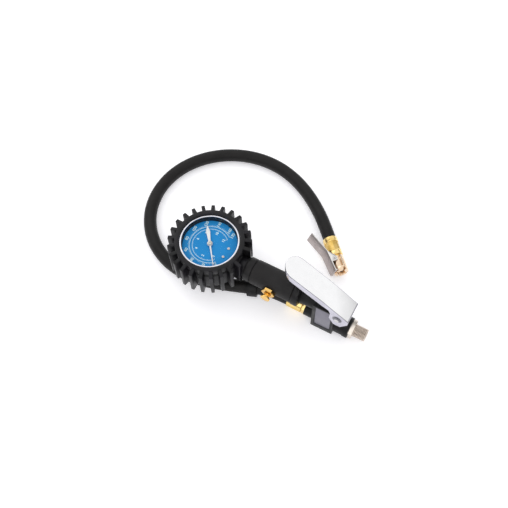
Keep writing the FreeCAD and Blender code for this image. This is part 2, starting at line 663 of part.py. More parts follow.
def gauge_socket():
    """Brass block and threaded stem that carry the tube, the works and the dial."""
    low = s.grip_height - s.socket_half_height
    high = s.grip_height + s.socket_half_height
    solids = [
        block("socket_block", (station(s.socket_inner), -s.socket_half_width, low),
              (station(s.socket_outer), s.socket_half_width, high)),
        block("socket_shelf",
              (station(s.socket_inner - s.shelf_reach), -s.shelf_half,
               s.lower_plate_height - s.shelf_thickness),
              (station(s.socket_inner), s.shelf_half, s.lower_plate_height)),
        rod("socket_stem", "X", s.stem_radius, stem_end - s.socket_inner,
            station(s.socket_inner), 0, s.grip_height)]
    tools = [rod("socket_bore", "X", s.stem_bore, stem_end - s.socket_inner - s.stem_bore,
                 station(s.socket_inner + s.stem_bore), 0, s.grip_height)]
    for i, (x, y) in enumerate(dial_screw_places()):
        solids.append(rod(f"socket_post_{i}", "Z", s.post_radius, dial_under - s.grip_height,
                          x, y, s.grip_height))
        tools.append(rod(f"post_hole_{i}", "Z", s.dial_screw_radius + s.slip,
                         s.dial_screw_length, x, y, dial_top - s.dial_screw_length))
    for side in (-1, 1):
        name = "left" if side < 0 else "right"
        tools.append(rod(f"shelf_hole_{name}", "Z", s.plate_screw_radius + s.slip,
                         s.plate_screw_length + s.slip, station(s.plate_screw_x),
                         side * s.plate_screw_y,
                         s.lower_plate_height - s.plate_screw_length))
    gap = s.slip
    tube_low = s.grip_height - s.tube_height / 2 - gap
    tube_high = s.grip_height + s.tube_height / 2 + gap
    near = s.tube_radius - s.tube_depth / 2 - gap
    far = s.tube_radius + s.tube_depth / 2 + gap
    slot = turned("tube_slot", "Z", [(near, tube_low), (far, tube_low), (far, tube_high),
                                     (near, tube_high)], sweep=s.tube_sweep)
    put(slot, gauge_x)
    spin(slot, s.tube_start - s.tube_sweep)
    tools.append(slot)
    keep("gauge_socket", cut("gauge_socket", joined("socket_whole", *solids), *tools))


def movement():
    """Two plates and their spacers, which carry the arbor and the sector."""
    places = []
    for angle, radius in ((s.sector_angle + s.spacer_turn, s.spacer_near),
                          (s.sector_angle - s.spacer_turn, s.spacer_far)):
        places.append((radius * cosine(angle), radius * sine(angle)))
    reach_x = gear_distance * cosine(s.sector_angle)
    edge = gear_distance * sine(s.sector_angle) + 2 * s.boss_radius
    corners = [
        (s.socket_inner, -s.shelf_half), (s.socket_inner, s.shelf_half),
        (reach_x + 2 * s.boss_radius, edge), (reach_x - 2 * s.boss_radius, edge),
        (-s.socket_inner + 2 * s.boss_radius, s.boss_radius), (0, -2 * s.boss_radius)]
    levels = (("movement_lower_plate", s.lower_plate_height),
              ("movement_upper_plate", s.upper_plate_height))
    for node, height in levels:
        inner = s.socket_inner - (s.press if node == "movement_lower_plate" else s.shelf_reach)
        shape = [(inner, corners[0][1]), (inner, corners[1][1]), *corners[2:]]
        plate = put(padded(node + "_sheet", "XY_Plane", s.plate_thickness, shape),
                    gauge_x, 0, height)
        holes = [rod(node + "_arbor_hole", "Z", s.arbor_radius + s.slip, s.plate_thickness,
                     gauge_x, 0, height),
                 rod(node + "_sector_hole", "Z", s.sector_shaft_radius + s.slip,
                     s.plate_thickness, sector_x, sector_y, height)]
        if node == "movement_lower_plate":
            for side in (-1, 1):
                holes.append(rod(f"{node}_hole_{side + 1}", "Z", s.plate_screw_radius + s.slip,
                                 s.plate_thickness, station(s.plate_screw_x),
                                 side * s.plate_screw_y, height))
        keep(node, cut(node, plate, *holes))
    spacers = [rod(f"spacer_{i}", "Z", s.spacer_radius, s.upper_plate_height - lower_plate_top,
                   gauge_x + x, y, lower_plate_top) for i, (x, y) in enumerate(places)]
    keep("movement_spacers", group("movement_spacers", *spacers))
    screws = []
    for side in (-1, 1):
        x, y = station(s.plate_screw_x), side * s.plate_screw_y
        shank = rod(f"plate_shank_{side + 1}", "Z", s.plate_screw_radius,
                    s.plate_screw_length + s.plate_thickness, x, y,
                    s.lower_plate_height - s.plate_screw_length)
        head = rod(f"plate_head_{side + 1}", "Z", 2 * s.plate_screw_radius,
                   s.plate_screw_radius, x, y, lower_plate_top)
        screws.append(joined(f"plate_screw_{side + 1}", shank, head))
    keep("movement_screws", group("movement_screws", *screws))


def hairspring():
    """Flat spiral spring about the arbor."""
    inner = float(s.arbor_radius + 3 * s.slip)
    growth = (float(s.hairspring_radius) - inner) / float(s.hairspring_turns)
    strip = float(s.hairspring_strip)
    turn_steps = int(s.hairspring_steps.number)
    steps = int(turn_steps * float(s.hairspring_turns))

    def spiral(offset):
        points = []
        for i in range(steps + 1):
            turn = i / turn_steps
            radius = inner + growth * turn + offset
            angle = 2 * math.pi * turn
            points.append(FreeCAD.Vector(radius * math.cos(angle), radius * math.sin(angle), 0))
        return points

    edge = spiral(0) + spiral(strip)[::-1]
    face = Part.Face(Part.makePolygon(edge + edge[:1]))
    piece = doc.addObject("Part::Feature", "hairspring")
    piece.Shape = face.extrude(FreeCAD.Vector(0, 0, float(s.hairspring_width)))
    keep("hairspring", put(piece, gauge_x, 0, s.hairspring_height))


# ---------------------------------------------------------------- grip and body casting

def ring_on_grip(node, start, end, radius):
    """A sleeve on the casting's round core, with broken edges."""
    inside = s.core_radius + s.press
    edge = s.edge_chamfer
    sleeve = turned(node + "_ring", "X", [
        (start, inside), (end, inside), (end, radius - edge), (end - edge, radius),
        (start + edge, radius), (start, radius - edge)])
    return put(sleeve, gauge_x, 0, s.grip_height)


def grip_sleeves():
    """Collar at the gauge, long textured sleeve and collar at the valve end."""
    keep("neck_collar", ring_on_grip("neck_collar", neck_start, neck_end, s.neck_radius))
    sleeve = ring_on_grip("grip_sleeve", neck_end, grip_end, s.grip_radius)
    hole = rod("grip_bleed_hole", "Y", s.bleed_shank_radius + s.slip, s.grip_radius,
               station(bleed_reach), -s.grip_radius, s.grip_height)
    keep("grip_sleeve", cut("grip_sleeve", sleeve, hole))
    keep("rear_collar", ring_on_grip("rear_collar", grip_end, collar_end, s.collar_radius))


pivot_back = block_back + s.pivot_setback
rod_reach = pivot_back - s.rod_setback
rod_x = station(rod_reach)
pivot_x = station(pivot_back)


def body_casting():
    """One casting: the grip's core, the valve block, the hose port, the inlet and the lug."""
    core_start = neck_start + s.core_gap
    block_top = s.block_height
    solids = [
        rod("casting_core", "X", s.core_radius, block_front - core_start + s.edge_chamfer,
            station(core_start), 0, s.grip_height),
        block("casting_block", (station(block_front), -s.block_half, 0),
              (station(block_back), s.block_half, block_top)),
        rod("casting_hose_boss", "X", s.hose_boss_radius, s.hose_boss_length + s.edge_chamfer,
            station(block_front - s.hose_boss_length), 0, s.port_height),
        rod("casting_inlet_body", "X", s.inlet_body_radius,
            s.inlet_body_length + s.edge_chamfer, station(block_back - s.edge_chamfer), 0,
            s.port_height),
        rod("casting_flange", "X", s.flange_radius, s.flange_length, station(inlet_body_end), 0,
            s.port_height),
        block("casting_lug", (station(block_back - s.edge_chamfer), -s.lug_half, s.port_height),
              (station(block_back + s.lug_length), s.lug_half, s.pivot_height)),
        rod("casting_lug_eye", "Y", s.lug_radius, 2 * s.lug_half, pivot_x, -s.lug_half,
            s.pivot_height)]
    passage_x = station(block_front + s.passage_setback)
    plug_seat = s.plug_height
    tools = [
        rod("cut_stem_port", "X", s.stem_radius + s.slip, stem_end - core_start + s.slip,
            station(core_start), 0, s.grip_height),
        rod("cut_core_bore", "X", s.core_bore, block_front + s.passage_setback - stem_end,
            station(stem_end), 0, s.grip_height),
        rod("cut_bleed_port", "Y", s.bleed_shank_radius + s.slip,
            s.core_radius - s.bleed_shank_end, station(bleed_reach), -s.core_radius,
            s.grip_height),
        rod("cut_bleed_well", "Y", s.bleed_foot_radius + s.loose, s.bleed_shank_end,
            station(bleed_reach), -s.bleed_shank_end, s.grip_height),
        rod("cut_plug", "Z", s.plug_radius + s.slip, plug_seat, rod_x, 0, 0),
        rod("cut_chamber", "Z", s.chamber_radius, s.seat_height - plug_seat, rod_x, 0, plug_seat),
        rod("cut_seat", "Z", s.chamber_radius, s.seat_thickness, rod_x, 0, s.seat_height),
        rod("cut_upper", "Z", s.upper_radius, s.gland_bottom - s.seat_height, rod_x, 0,
            s.seat_height),
        rod("cut_gland", "Z", s.gland_radius + s.slip, block_top - s.gland_bottom, rod_x, 0,
            s.gland_bottom),
        rod("cut_inlet", "X", s.inlet_bore, flange_end - rod_reach, rod_x, 0, s.port_height),
        rod("cut_inlet_thread", "X", s.inlet_shank_radius + s.slip, s.inlet_shank,
            station(flange_end - s.inlet_shank), 0, s.port_height),
        rod("cut_hose_bore", "X", s.hose_bore, s.hose_boss_length + s.passage_setback,
            station(block_front - s.hose_boss_length), 0, s.port_height),
        rod("cut_hose_thread", "X", s.nipple_shank_radius + s.slip, s.nipple_shank,
            station(block_front - s.hose_boss_length), 0, s.port_height),
        rod("cut_riser", "Z", s.passage_radius, s.grip_height - s.port_height, passage_x, 0,
            s.port_height),
        rod("cut_crossing", "X", s.passage_radius, rod_reach - block_front - s.passage_setback,
            passage_x, 0, s.passage_height),
        rod("cut_pivot", "Y", s.pin_radius + s.press, 2 * s.lug_half, pivot_x, -s.lug_half,
            s.pivot_height),
        block("cut_label",
              (station(block_front + s.label_inset), -s.block_half, s.label_bottom),
              (station(block_back - s.label_right_inset), -s.block_half + s.label_depth,
               s.label_top))]
    keep("body_casting", cut("body_casting", joined("casting_whole", *solids), *tools))
    back = -s.block_half + s.label_depth
    label = block("label_plate",
                  (station(block_front + s.label_inset + s.label_gap),
                   back - s.label_thickness, s.label_bottom + s.label_gap),
                  (station(block_back - s.label_right_inset - s.label_gap), back,
                   s.label_top - s.label_gap))
    keep("label_plate", label)


# ---------------------------------------------------------------- valve

washer_top = s.seat_height
washer_under = washer_top - s.washer_thickness
poppet_under = washer_under - s.poppet_thickness


def valve():
    """Seat, poppet, rod, gland, seal, spring and the plug that closes the chamber."""
    seat = turned("seat_ring", "Z", [
        (s.seat_bore, s.seat_height), (s.chamber_radius - s.press, s.seat_height),
        (s.chamber_radius - s.press, s.seat_height + s.seat_thickness),
        (s.seat_bore, s.seat_height + s.seat_thickness)])
    keep("valve_seat", put(seat, rod_x))
    keep("poppet_washer", rod("poppet_washer", "Z", s.poppet_radius, s.washer_thickness, rod_x,
                              0, washer_under))
    poppet = turned("poppet_turned", "Z", [
        (0, poppet_under - s.poppet_foot), (s.rod_radius, poppet_under - s.poppet_foot),
        (s.rod_radius, poppet_under), (s.poppet_radius, poppet_under),
        (s.poppet_radius, washer_under), (0, washer_under)])
    keep("valve_poppet", put(poppet, rod_x))
    rod_top = s.pivot_height + s.rod_rise
    head_low = rod_top - s.rod_head
    stem = turned("push_rod", "Z", [
        (0, washer_top), (s.rod_radius, washer_top), (s.rod_radius, head_low),
        (s.rod_head_radius, head_low), (s.rod_head_radius, rod_top - s.rod_radius / 2),
        (s.rod_radius, rod_top), (0, rod_top)])
    keep("push_rod", put(stem, rod_x))
    bore = s.rod_radius + s.slip
    well = s.rod_radius + 2 * s.ring_section
    gland_top = s.block_height + s.gland_hex
    shank = rod("gland_shank", "Z", s.gland_radius, s.block_height - s.gland_bottom, rod_x, 0,
                s.gland_bottom)
    nut = hexagon("gland_nut", "Z", s.gland_across, s.gland_hex, rod_x, 0, s.block_height)
    hole = rod("gland_hole", "Z", bore, gland_top - s.gland_bottom, rod_x, 0, s.gland_bottom)
    seal_well = rod("gland_well", "Z", well, s.gland_well, rod_x, 0, s.gland_bottom)
    keep("rod_gland", cut("rod_gland", joined("gland_whole", shank, nut), hole, seal_well))
    ring = doc.addObject("Part::Torus", "rod_seal")
    bind(ring, "Radius2", s.ring_section - s.slip)
    bind(ring, "Radius1", s.rod_radius + s.ring_section)
    put(ring, rod_x, 0, s.gland_bottom + s.gland_well - s.ring_section)
    keep("rod_seal", ring)
    plug = rod("plug_disc", "Z", s.plug_radius, s.plug_height - s.plug_recess, rod_x, 0,
               s.plug_recess)
    slot = block("plug_slot", (rod_x - s.plug_radius, -s.plug_recess, 0),
                 (rod_x + s.plug_radius, s.plug_recess, 2 * s.plug_recess))
    keep("valve_plug", cut("valve_plug", plug, slot))
    wire = float(s.valve_wire)
    low = float(s.plug_height) + wire
    high = float(poppet_under) - wire
    spring("valve_spring", (float(rod_x), 0, low), "Z", float(s.rod_radius + s.slip) + 2 * wire,
           wire, high - low, float(s.valve_turns))


# ---------------------------------------------------------------- lever

def lever():
    """Pressed channel with a round nose, a long thumb face and two ears at its pivot."""
    nose, nose_top = pivot_back - s.nose_ahead, s.pivot_height + s.nose_rise
    knee, knee_top = pivot_back - s.knee_ahead, s.pivot_height + s.knee_rise
    tail, tail_top = pivot_back + s.tail_behind, s.pivot_height + s.tail_rise
    ear_front, ear_low = pivot_back - s.ear_ahead, s.pivot_height - s.ear_drop
    skirt_low = s.pivot_height + s.skirt_rise

    def side(drop, inner):
        """Side view, with its top face lowered by a drop. The inner one clears the skirts."""
        below = ear_low - s.cutter_over if inner else None
        slope_drop = drop / cosine(s.lever_slope)
        top = [(nose, nose_top - slope_drop), (knee, knee_top - slope_drop),
               (tail + (drop if inner else 0),
                tail_top - slope_drop - (drop if inner else 0))]
        if inner:
            return [*top, (tail + drop, below), (nose, below)]
        return [*top, (pivot_back + s.ear_behind, s.pivot_height - s.ear_back_drop),
                (pivot_back + s.ear_flat_back, ear_low),
                (pivot_back - s.ear_flat_front, ear_low),
                (pivot_back - s.ear_toe_ahead, s.pivot_height - s.ear_toe_drop),
                (ear_front, s.pivot_height - s.ear_front_drop),
                (ear_front + s.ear_neck, skirt_low - s.cutter_over),
                (pivot_back - s.skirt_ahead, skirt_low), (knee, knee_top - s.lever_depth),
                (nose + s.lever_depth / 2, nose_top - s.lever_depth - s.lever_depth / 4),
                (nose, nose_top - s.skirt_nose_drop)]

    def plan(name, half, low, high):
        """Plan view: a box with a round nose."""
        centre = nose + s.lever_half
        return joined(name, rod(name + "_nose", "Z", half, high - low, station(centre), 0, low),
                      block(name + "_rest", (station(centre), -half, low),
                            (station(tail + s.cutter_over), half, high)))

    low, high = ear_low - 2 * s.cutter_over, nose_top + 2 * s.cutter_over
    outer = put(padded("lever_outer", "XZ_Plane", 4 * s.lever_half, side(0, False), both=True),
                gauge_x)
    inner = put(padded("lever_inner", "XZ_Plane", 4 * s.lever_half,
                       side(s.lever_wall, True), both=True), gauge_x)
    shell = shared("lever_shell", outer, plan("lever_plan", s.lever_half, low, high))
    hollow = shared("lever_hollow", inner,
                    plan("lever_room", s.lever_half - s.lever_wall, low, high))
    hole = rod("lever_eye", "Y", s.pin_radius + s.slip, 2 * s.lever_half, pivot_x,
               -s.lever_half, s.pivot_height)
    keep("press_lever", cut("press_lever", shell, hollow, hole))
    head_at = s.lever_half + s.slip
    pin = turned("lever_pin", "Y", [
        (-head_at - s.pin_head, 0), (-head_at - s.pin_head, s.pin_head_radius / 2),
        (-head_at, s.pin_head_radius), (-head_at, s.pin_radius), (head_at, s.pin_radius),
        (head_at, s.pin_head_radius), (head_at + s.pin_head, s.pin_head_radius / 2),
        (head_at + s.pin_head, 0)])
    keep("lever_pin", put(pin, pivot_x, 0, s.pivot_height))


# ---------------------------------------------------------------- air inlet and bleed valve

def inlet_fitting():
    """Male air nipple: hexagon, threaded spigot with even ridges, and a shank in the casting."""
    shank = turned("inlet_turned", "X", [
        (flange_end - s.inlet_shank + s.slip, 0),
        (flange_end - s.inlet_shank + s.slip, s.inlet_shank_radius),
        (flange_end, s.inlet_shank_radius), (flange_end, s.thread_root),
        *thread_profile(), (inlet_end, 0)])
    put(shank, gauge_x, 0, s.port_height)
    nut = hexagon("inlet_nut", "X", s.inlet_across, s.inlet_hex, station(flange_end), 0,
                  s.port_height)
    through = rod("inlet_through", "X", s.inlet_through, inlet_end - flange_end + s.inlet_shank,
                  station(flange_end - s.inlet_shank), 0, s.port_height)
    keep("inlet_fitting", cut("inlet_fitting", joined("inlet_whole", shank, nut), through))


def thread_profile():
    """Corners of the ridges, from the hexagon to the open end."""
    corners = []
    flank = (s.thread_pitch - s.thread_land) / 2
    for i in range(int(s.thread_turns.number)):
        start = hex_end + i * s.thread_pitch
        corners += [(start, s.thread_root), (start + flank, s.thread_radius),
                    (start + flank + s.thread_land, s.thread_radius)]
    corners.append((inlet_end, s.thread_root))
    return corners


def bleed_valve():
    """Brass body, push button with its stem and foot, sealing washer and return spring."""
    x = station(bleed_reach)
    z = s.grip_height
    hex_front = s.bleed_hex_start + s.bleed_hex
    shank = rod("bleed_shank", "Y", s.bleed_shank_radius, s.bleed_hex_start - s.bleed_shank_end,
                x, -s.bleed_hex_start, z)
    nut = hexagon("bleed_nut", "Y", s.bleed_across, s.bleed_hex, x, -hex_front, z)
    hole = rod("bleed_hole", "Y", s.bleed_bore, hex_front - s.bleed_shank_end, x, -hex_front, z)
    well = rod("bleed_well", "Y", s.bleed_well_radius, s.bleed_well_depth, x, -hex_front, z)
    keep("bleed_body", cut("bleed_body", joined("bleed_whole", shank, nut), hole, well))
    disc_back = s.bleed_face - s.bleed_disc
    shoulder = hex_front - s.bleed_shoulder_in
    foot_front = s.bleed_shank_end - s.bleed_washer
    button = turned("bleed_button", "Y", [
        (-s.bleed_face, 0), (-s.bleed_face, s.bleed_disc_radius),
        (-disc_back, s.bleed_disc_radius), (-disc_back, s.bleed_shoulder_radius),
        (-shoulder, s.bleed_shoulder_radius), (-shoulder, s.bleed_stem_radius),
        (-foot_front, s.bleed_stem_radius), (-foot_front, s.bleed_foot_radius),
        (-foot_front + s.bleed_foot, s.bleed_foot_radius), (-foot_front + s.bleed_foot, 0)])
    keep("bleed_button", put(button, x, 0, z))
    washer = turned("bleed_washer", "Y", [
        (-s.bleed_shank_end, s.bleed_stem_radius + s.press),
        (-s.bleed_shank_end, s.bleed_foot_radius), (-foot_front, s.bleed_foot_radius),
        (-foot_front, s.bleed_stem_radius + s.press)])
    keep("bleed_washer", put(washer, x, 0, z))
    wire = float(s.bleed_wire)
    start = -float(shoulder) + wire
    end = -float(hex_front - s.bleed_well_depth) - wire
    spring("bleed_spring", (float(x), start, float(z)), "Y",
           float(s.bleed_stem_radius + s.bleed_well_radius) / 2, wire, end - start,
           float(s.bleed_turns))


# ---------------------------------------------------------------- hose, its ends and its clip

def route_point(index):
    """One point of the hose's route."""
    return FreeCAD.Vector(*HOSE_ROUTE[index])


def hose_path():
    """Straight runs joined by tangent arcs, each as large as its two runs allow."""
    points = [route_point(i) for i in range(len(HOSE_ROUTE))]
    edges = []
    radii = []
    here = points[0]
    for before, corner, after in zip(points, points[1:], points[2:]):
        into = (corner - before)
        out = (after - corner)
        half_turn = into.getAngle(out) / 2
        setback = float(s.bend_share) * min(into.Length, out.Length)
        radii.append(setback / math.tan(half_turn))
        arc_start = corner - into.normalize() * setback
        arc_end = corner + out.normalize() * setback
        inward = (out - into).normalize()
        depth = setback * math.tan(half_turn / 2)
        middle = corner + inward * depth
        edges.append(Part.LineSegment(here, arc_start).toShape())
        edges.append(Part.Arc(arc_start, middle, arc_end).toShape())
        here = arc_end
    edges.append(Part.LineSegment(here, points[-1]).toShape())
    return Part.Wire(edges), radii


def hose():
    """Rubber hose as one bent tube from the ferrule on the gun to the one on the chuck."""
    path, radii = hose_path()
    heading = route_point(1) - route_point(0)
    solids = []
    for radius in (float(s.hose_radius), float(s.hose_inside)):
        ring = Part.Wire([Part.makeCircle(radius, route_point(0), heading)])
        solids.append(path.makePipeShell([ring], True, False))
    tube = solids[0].cut(solids[1])
    section = math.pi * (float(s.hose_radius) ** 2 - float(s.hose_inside) ** 2)
    print("hose bend radii", [round(radius) for radius in radii])
    print(f"hose length {path.Length:.1f} mm, "
          f"volume over section times length {tube.Volume / (section * path.Length):.4f}")
    piece = doc.addObject("Part::Feature", "air_hose")
    piece.Shape = tube
    keep("air_hose", piece)


def hose_nipple():
    """Brass nipple screwed into the port, and the ferrule crimped on the hose."""
    port_face = block_front - s.hose_boss_length
    hex_start = port_face - s.nipple_hex
    sleeve_end = hex_start - s.nipple_neck
    sleeve_start = sleeve_end - s.sleeve_length
    shank = turned("nipple_turned", "X", [
        (sleeve_start, 0), (sleeve_start, s.barb_radius), (hex_start, s.barb_radius),
        (port_face, s.barb_radius), (port_face, s.nipple_shank_radius),
        (port_face + s.nipple_shank - s.slip, s.nipple_shank_radius),
        (port_face + s.nipple_shank - s.slip, 0)])
    put(shank, gauge_x, 0, s.port_height)
    nut = hexagon("nipple_nut", "X", s.nipple_across, s.nipple_hex, station(hex_start), 0,
                  s.port_height)
    bore = rod("nipple_bore", "X", s.hose_bore, port_face + s.nipple_shank - sleeve_start,
               station(sleeve_start), 0, s.port_height)
    keep("hose_nipple", cut("hose_nipple", joined("nipple_whole", shank, nut), bore))
    ring = turned("hose_ferrule", "X", [
        (sleeve_start, s.barb_radius + s.press), (sleeve_end, s.barb_radius + s.press),
        (sleeve_end, s.sleeve_radius), (sleeve_start, s.sleeve_radius)])
    keep("hose_ferrule", put(ring, gauge_x, 0, s.port_height))


def hose_at(x):
    """The hose's centre and heading where its first stretch passes an X coordinate."""
    path, radii = hose_path()
    points = path.discretize(Distance=float(s.path_step))
    after = next(i for i, point in enumerate(points) if point.x < x)
    heading = (points[after] - points[after - 1]).normalize()
    return points[after] + heading * ((x - points[after].x) / heading.x), heading


def hose_clip():
    """Band that holds the hose under the grip, with a tab against the sleeve above it."""
    x = float(station(neck_end + s.clip_setback))
    centre, heading = hose_at(x)
    length = float(s.clip_length)
    opening = float(s.hose_radius + s.loose)
    outer = centre.z - length / 2 * abs(heading.z)
    start = centre - heading * (length / 2)
    band = Part.makeCylinder(outer, length, start, heading)
    half = float(s.clip_tab_half)
    height = float(s.grip_height)
    tab = Part.makeBox(length, 2 * half, height - centre.z,
                       FreeCAD.Vector(x - length / 2, centre.y, centre.z))
    reach = 2 * length
    run = Part.makeCylinder(opening, reach, centre - heading * length, heading)
    grip = Part.makeCylinder(float(s.grip_radius + s.slip), 2 * reach,
                             FreeCAD.Vector(x - reach, 0, height), FreeCAD.Vector(1, 0, 0))
    above = Part.makeBox(reach, 2 * reach, height, FreeCAD.Vector(x - length, -reach, height))
    piece = doc.addObject("Part::Feature", "hose_clip")
    piece.Shape = band.fuse(tab).cut(run).cut(grip).cut(above).removeSplitter()
    keep("hose_clip", piece)


# ---------------------------------------------------------------- tyre chuck

def chuck_frame():
    """Placement of the chuck: its X axis goes on from the hose's last run."""
    end = route_point(-1)
    heading = end - route_point(-2)
    yaw = math.degrees(math.atan2(heading.y, heading.x))
    lift = -math.degrees(math.asin(heading.z / heading.Length))
    return FreeCAD.Placement(end, FreeCAD.Rotation(yaw, lift, float(s.chuck_roll)))


def on_chuck(*things):
    """Move finished solids from the chuck's own frame to the end of the hose."""
    moved = []
    for thing in things:
        thing.Placement = chuck_frame().multiply(thing.Placement)
        moved.append(thing)
    return moved


def chuck():
    """Ferrule, nipple, body with its slotted mouth, seal and the pin that opens the valve."""
    sleeve_end = s.chuck_sleeve_length
    body_start = sleeve_end + s.chuck_gap
    shank_end = body_start + s.chuck_shank
    ferrule = turned("chuck_ferrule", "X", [
        (0, s.barb_radius + s.press), (sleeve_end, s.barb_radius + s.press),
        (sleeve_end, s.chuck_sleeve_radius), (0, s.chuck_sleeve_radius)])
    nipple = turned("chuck_nipple", "X", [
        (0, s.chuck_bore), (0, s.barb_radius), (sleeve_end, s.barb_radius),
        (sleeve_end, s.chuck_neck_radius), (body_start, s.chuck_neck_radius),
        (body_start, s.barb_radius), (shank_end, s.barb_radius),
        (shank_end, s.chuck_bore)])
    seal_end = s.chuck_length - s.chuck_mouth_depth
    seal_start = seal_end - s.chuck_seal_thickness
    shell = turned("chuck_shell", "X", [
        (body_start, s.barb_radius + s.press),
        (shank_end, s.barb_radius + s.press),
        (shank_end, s.chuck_room), (seal_start, s.chuck_room),
        (seal_start, s.chuck_seal_radius), (seal_end, s.chuck_seal_radius),
        (seal_end, s.chuck_mouth), (s.chuck_length, s.chuck_mouth),
        (s.chuck_length, s.chuck_radius), (body_start, s.chuck_radius)])
    flats = [block(f"chuck_flat_{side + 1}",
                   (body_start, s.chuck_flat if side > 0 else -s.chuck_radius, 0),
                   (body_start + s.chuck_flat_length,
                    s.chuck_radius if side > 0 else -s.chuck_flat, s.chuck_radius))
             for side in (-1, 1)]
    slot_low = s.chuck_length - s.chuck_slot_depth
    slots = [block("chuck_slot_flat", (slot_low, -s.chuck_radius, -s.chuck_slot / 2),
                   (s.chuck_length, s.chuck_radius, s.chuck_slot / 2)),
             block("chuck_slot_tall", (slot_low, -s.chuck_slot / 2, -s.chuck_radius),
                   (s.chuck_length, s.chuck_slot / 2, s.chuck_radius))]
    pin_hole = rod("chuck_pin_hole", "Y", s.clip_pin_radius + s.press, 2 * s.chuck_radius,
                   s.clip_pivot, -s.chuck_radius, s.clip_pivot_out)
    body = cut("chuck_body", shell, *flats, *slots, pin_hole)
    seal = turned("chuck_seal", "X", [
        (seal_start + s.slip, s.chuck_seal_bore), (seal_end - s.slip, s.chuck_seal_bore),
        (seal_end - s.slip, s.chuck_seal_radius - s.slip),
        (seal_start + s.slip, s.chuck_seal_radius - s.slip)])
    disc_radius = s.chuck_room - s.press
    pin_start = seal_start - s.chuck_pin_disc
    pin = turned("chuck_pin", "X", [
        (pin_start - s.chuck_pin_disc, 0), (pin_start - s.chuck_pin_disc, disc_radius),
        (pin_start, disc_radius), (pin_start, s.chuck_pin_radius),
        (seal_end - s.chuck_pin_inset, s.chuck_pin_radius), (seal_end - s.chuck_pin_inset, 0)])
    placed = on_chuck(ferrule, nipple, body, seal, pin)
    names = ("chuck_ferrule", "chuck_nipple", "chuck_body", "chuck_seal", "chuck_pin")
    for node, thing in zip(names, placed):
        keep(node, thing)


def chuck_clip():
    """Sprung lever astride the chuck: thumb plate, two ears, and a jaw at the mouth."""
    plate = s.clip_plate
    pivot = s.clip_pivot
    strip = padded("clip_strip", "XZ_Plane", 2 * s.clip_half, [
        (s.clip_tail_at, s.clip_tail_out), (s.clip_bend_at, s.clip_bend_out),
        (s.clip_jaw_at, s.clip_jaw_out), (s.clip_jaw_at, s.clip_jaw_out - s.clip_jaw_drop),
        (s.clip_jaw_at - plate, s.clip_jaw_out - s.clip_jaw_drop),
        (s.clip_jaw_at - plate, s.clip_jaw_out - plate),
        (s.clip_bend_at, s.clip_bend_out - plate),
        (s.clip_tail_at - plate / 2, s.clip_tail_out - plate)], both=True)
    ears = padded("clip_ears", "XZ_Plane", 2 * s.clip_half, [
        (s.clip_bend_at, s.clip_bend_out - plate / 2),
        (s.clip_ear_front, s.clip_bend_out - plate - plate / 2),
        (pivot + s.clip_ear_half, s.clip_ear_low),
        (pivot - s.clip_ear_half, s.clip_ear_low)], both=True)
    room = block("clip_room", (0, -s.clip_half + plate, 0),
                 (s.chuck_length, s.clip_half - plate, s.clip_bend_out - plate))
    hole = rod("clip_pin_hole", "Y", s.clip_pin_radius + s.slip, 2 * s.clip_half, pivot,
               -s.clip_half, s.clip_pivot_out)
    sides = cut("clip_sides", ears, room)
    clip = cut("chuck_clip", joined("clip_frame", strip, sides), hole)
    over = s.clip_half + s.clip_pin_over
    pin = group("chuck_clip_pin", rod("clip_pin_rod", "Y", s.clip_pin_radius, 2 * over, pivot,
                                      -over, s.clip_pivot_out))
    wire = s.clip_spring_wire
    foot = s.chuck_sleeve_length + s.chuck_gap + s.loose
    heel = pivot + s.clip_spring_heel
    base = s.chuck_radius + s.slip
    tip_at = s.clip_bend_at - s.clip_spring_back
    tip_out = s.clip_bend_out + s.clip_spring_rise
    leaf = padded("chuck_clip_spring", "XZ_Plane", s.clip_half, [
        (foot, base), (heel, base), (tip_at, tip_out), (tip_at, tip_out - wire),
        (heel - 3 * wire, base + wire), (foot, base + wire)], both=True)
    names = ("chuck_clip", "chuck_clip_pin", "chuck_clip_spring")
    for node, thing in zip(names, on_chuck(clip, pin, leaf)):
        keep(node, thing)


# ---------------------------------------------------------------- build, check and write

for make in (gauge_boot, gauge_case, bezel_and_glass, dial, pointer, pinion_arbor, sector_gear,
             connecting_link, bourdon_tube, gauge_socket, movement, hairspring, grip_sleeves,
             body_casting, valve, lever, inlet_fitting, bleed_valve, hose, hose_nipple,
             hose_clip, chuck, chuck_clip):
    make()

doc.recompute()
faults = [f"{thing.Label}: {thing.State}" for thing in doc.Objects
          if {"Invalid", "Error"} & set(thing.State)]
for node, piece in pieces.items():
    if piece.Shape.isNull() or not piece.Shape.isValid():
        faults.append(f"{node}: shape is null or not valid")
if faults:
    raise SystemExit("\n".join(faults))

os.makedirs("parts", exist_ok=True)
for node, piece in pieces.items():
    piece.Shape.exportStep(f"parts/{node}.step")
    size = piece.Shape.BoundBox
    print(f"{node:24s} solids {len(piece.Shape.Solids)}  x {size.XMin:7.1f} {size.XMax:7.1f}  "
          f"y {size.YMin:7.1f} {size.YMax:7.1f}  z {size.ZMin:6.1f} {size.ZMax:6.1f}")
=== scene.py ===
# %% [markdown]
# # A tyre inflator gun
# This tool joins a workshop air line to a tyre valve. It has a dial gauge in a rubber boot, a
# round grip, a press lever over a valve block, and a short rubber hose with a clip-on chuck.
# The CAD frame holds every part at its real size, in metres. This file gives each part its
# finish, and models again the parts whose soft or rolled shapes the CAD keeps plain.

# %% Load the frame
import json
import math
import bpy
from mathutils import Matrix, Vector


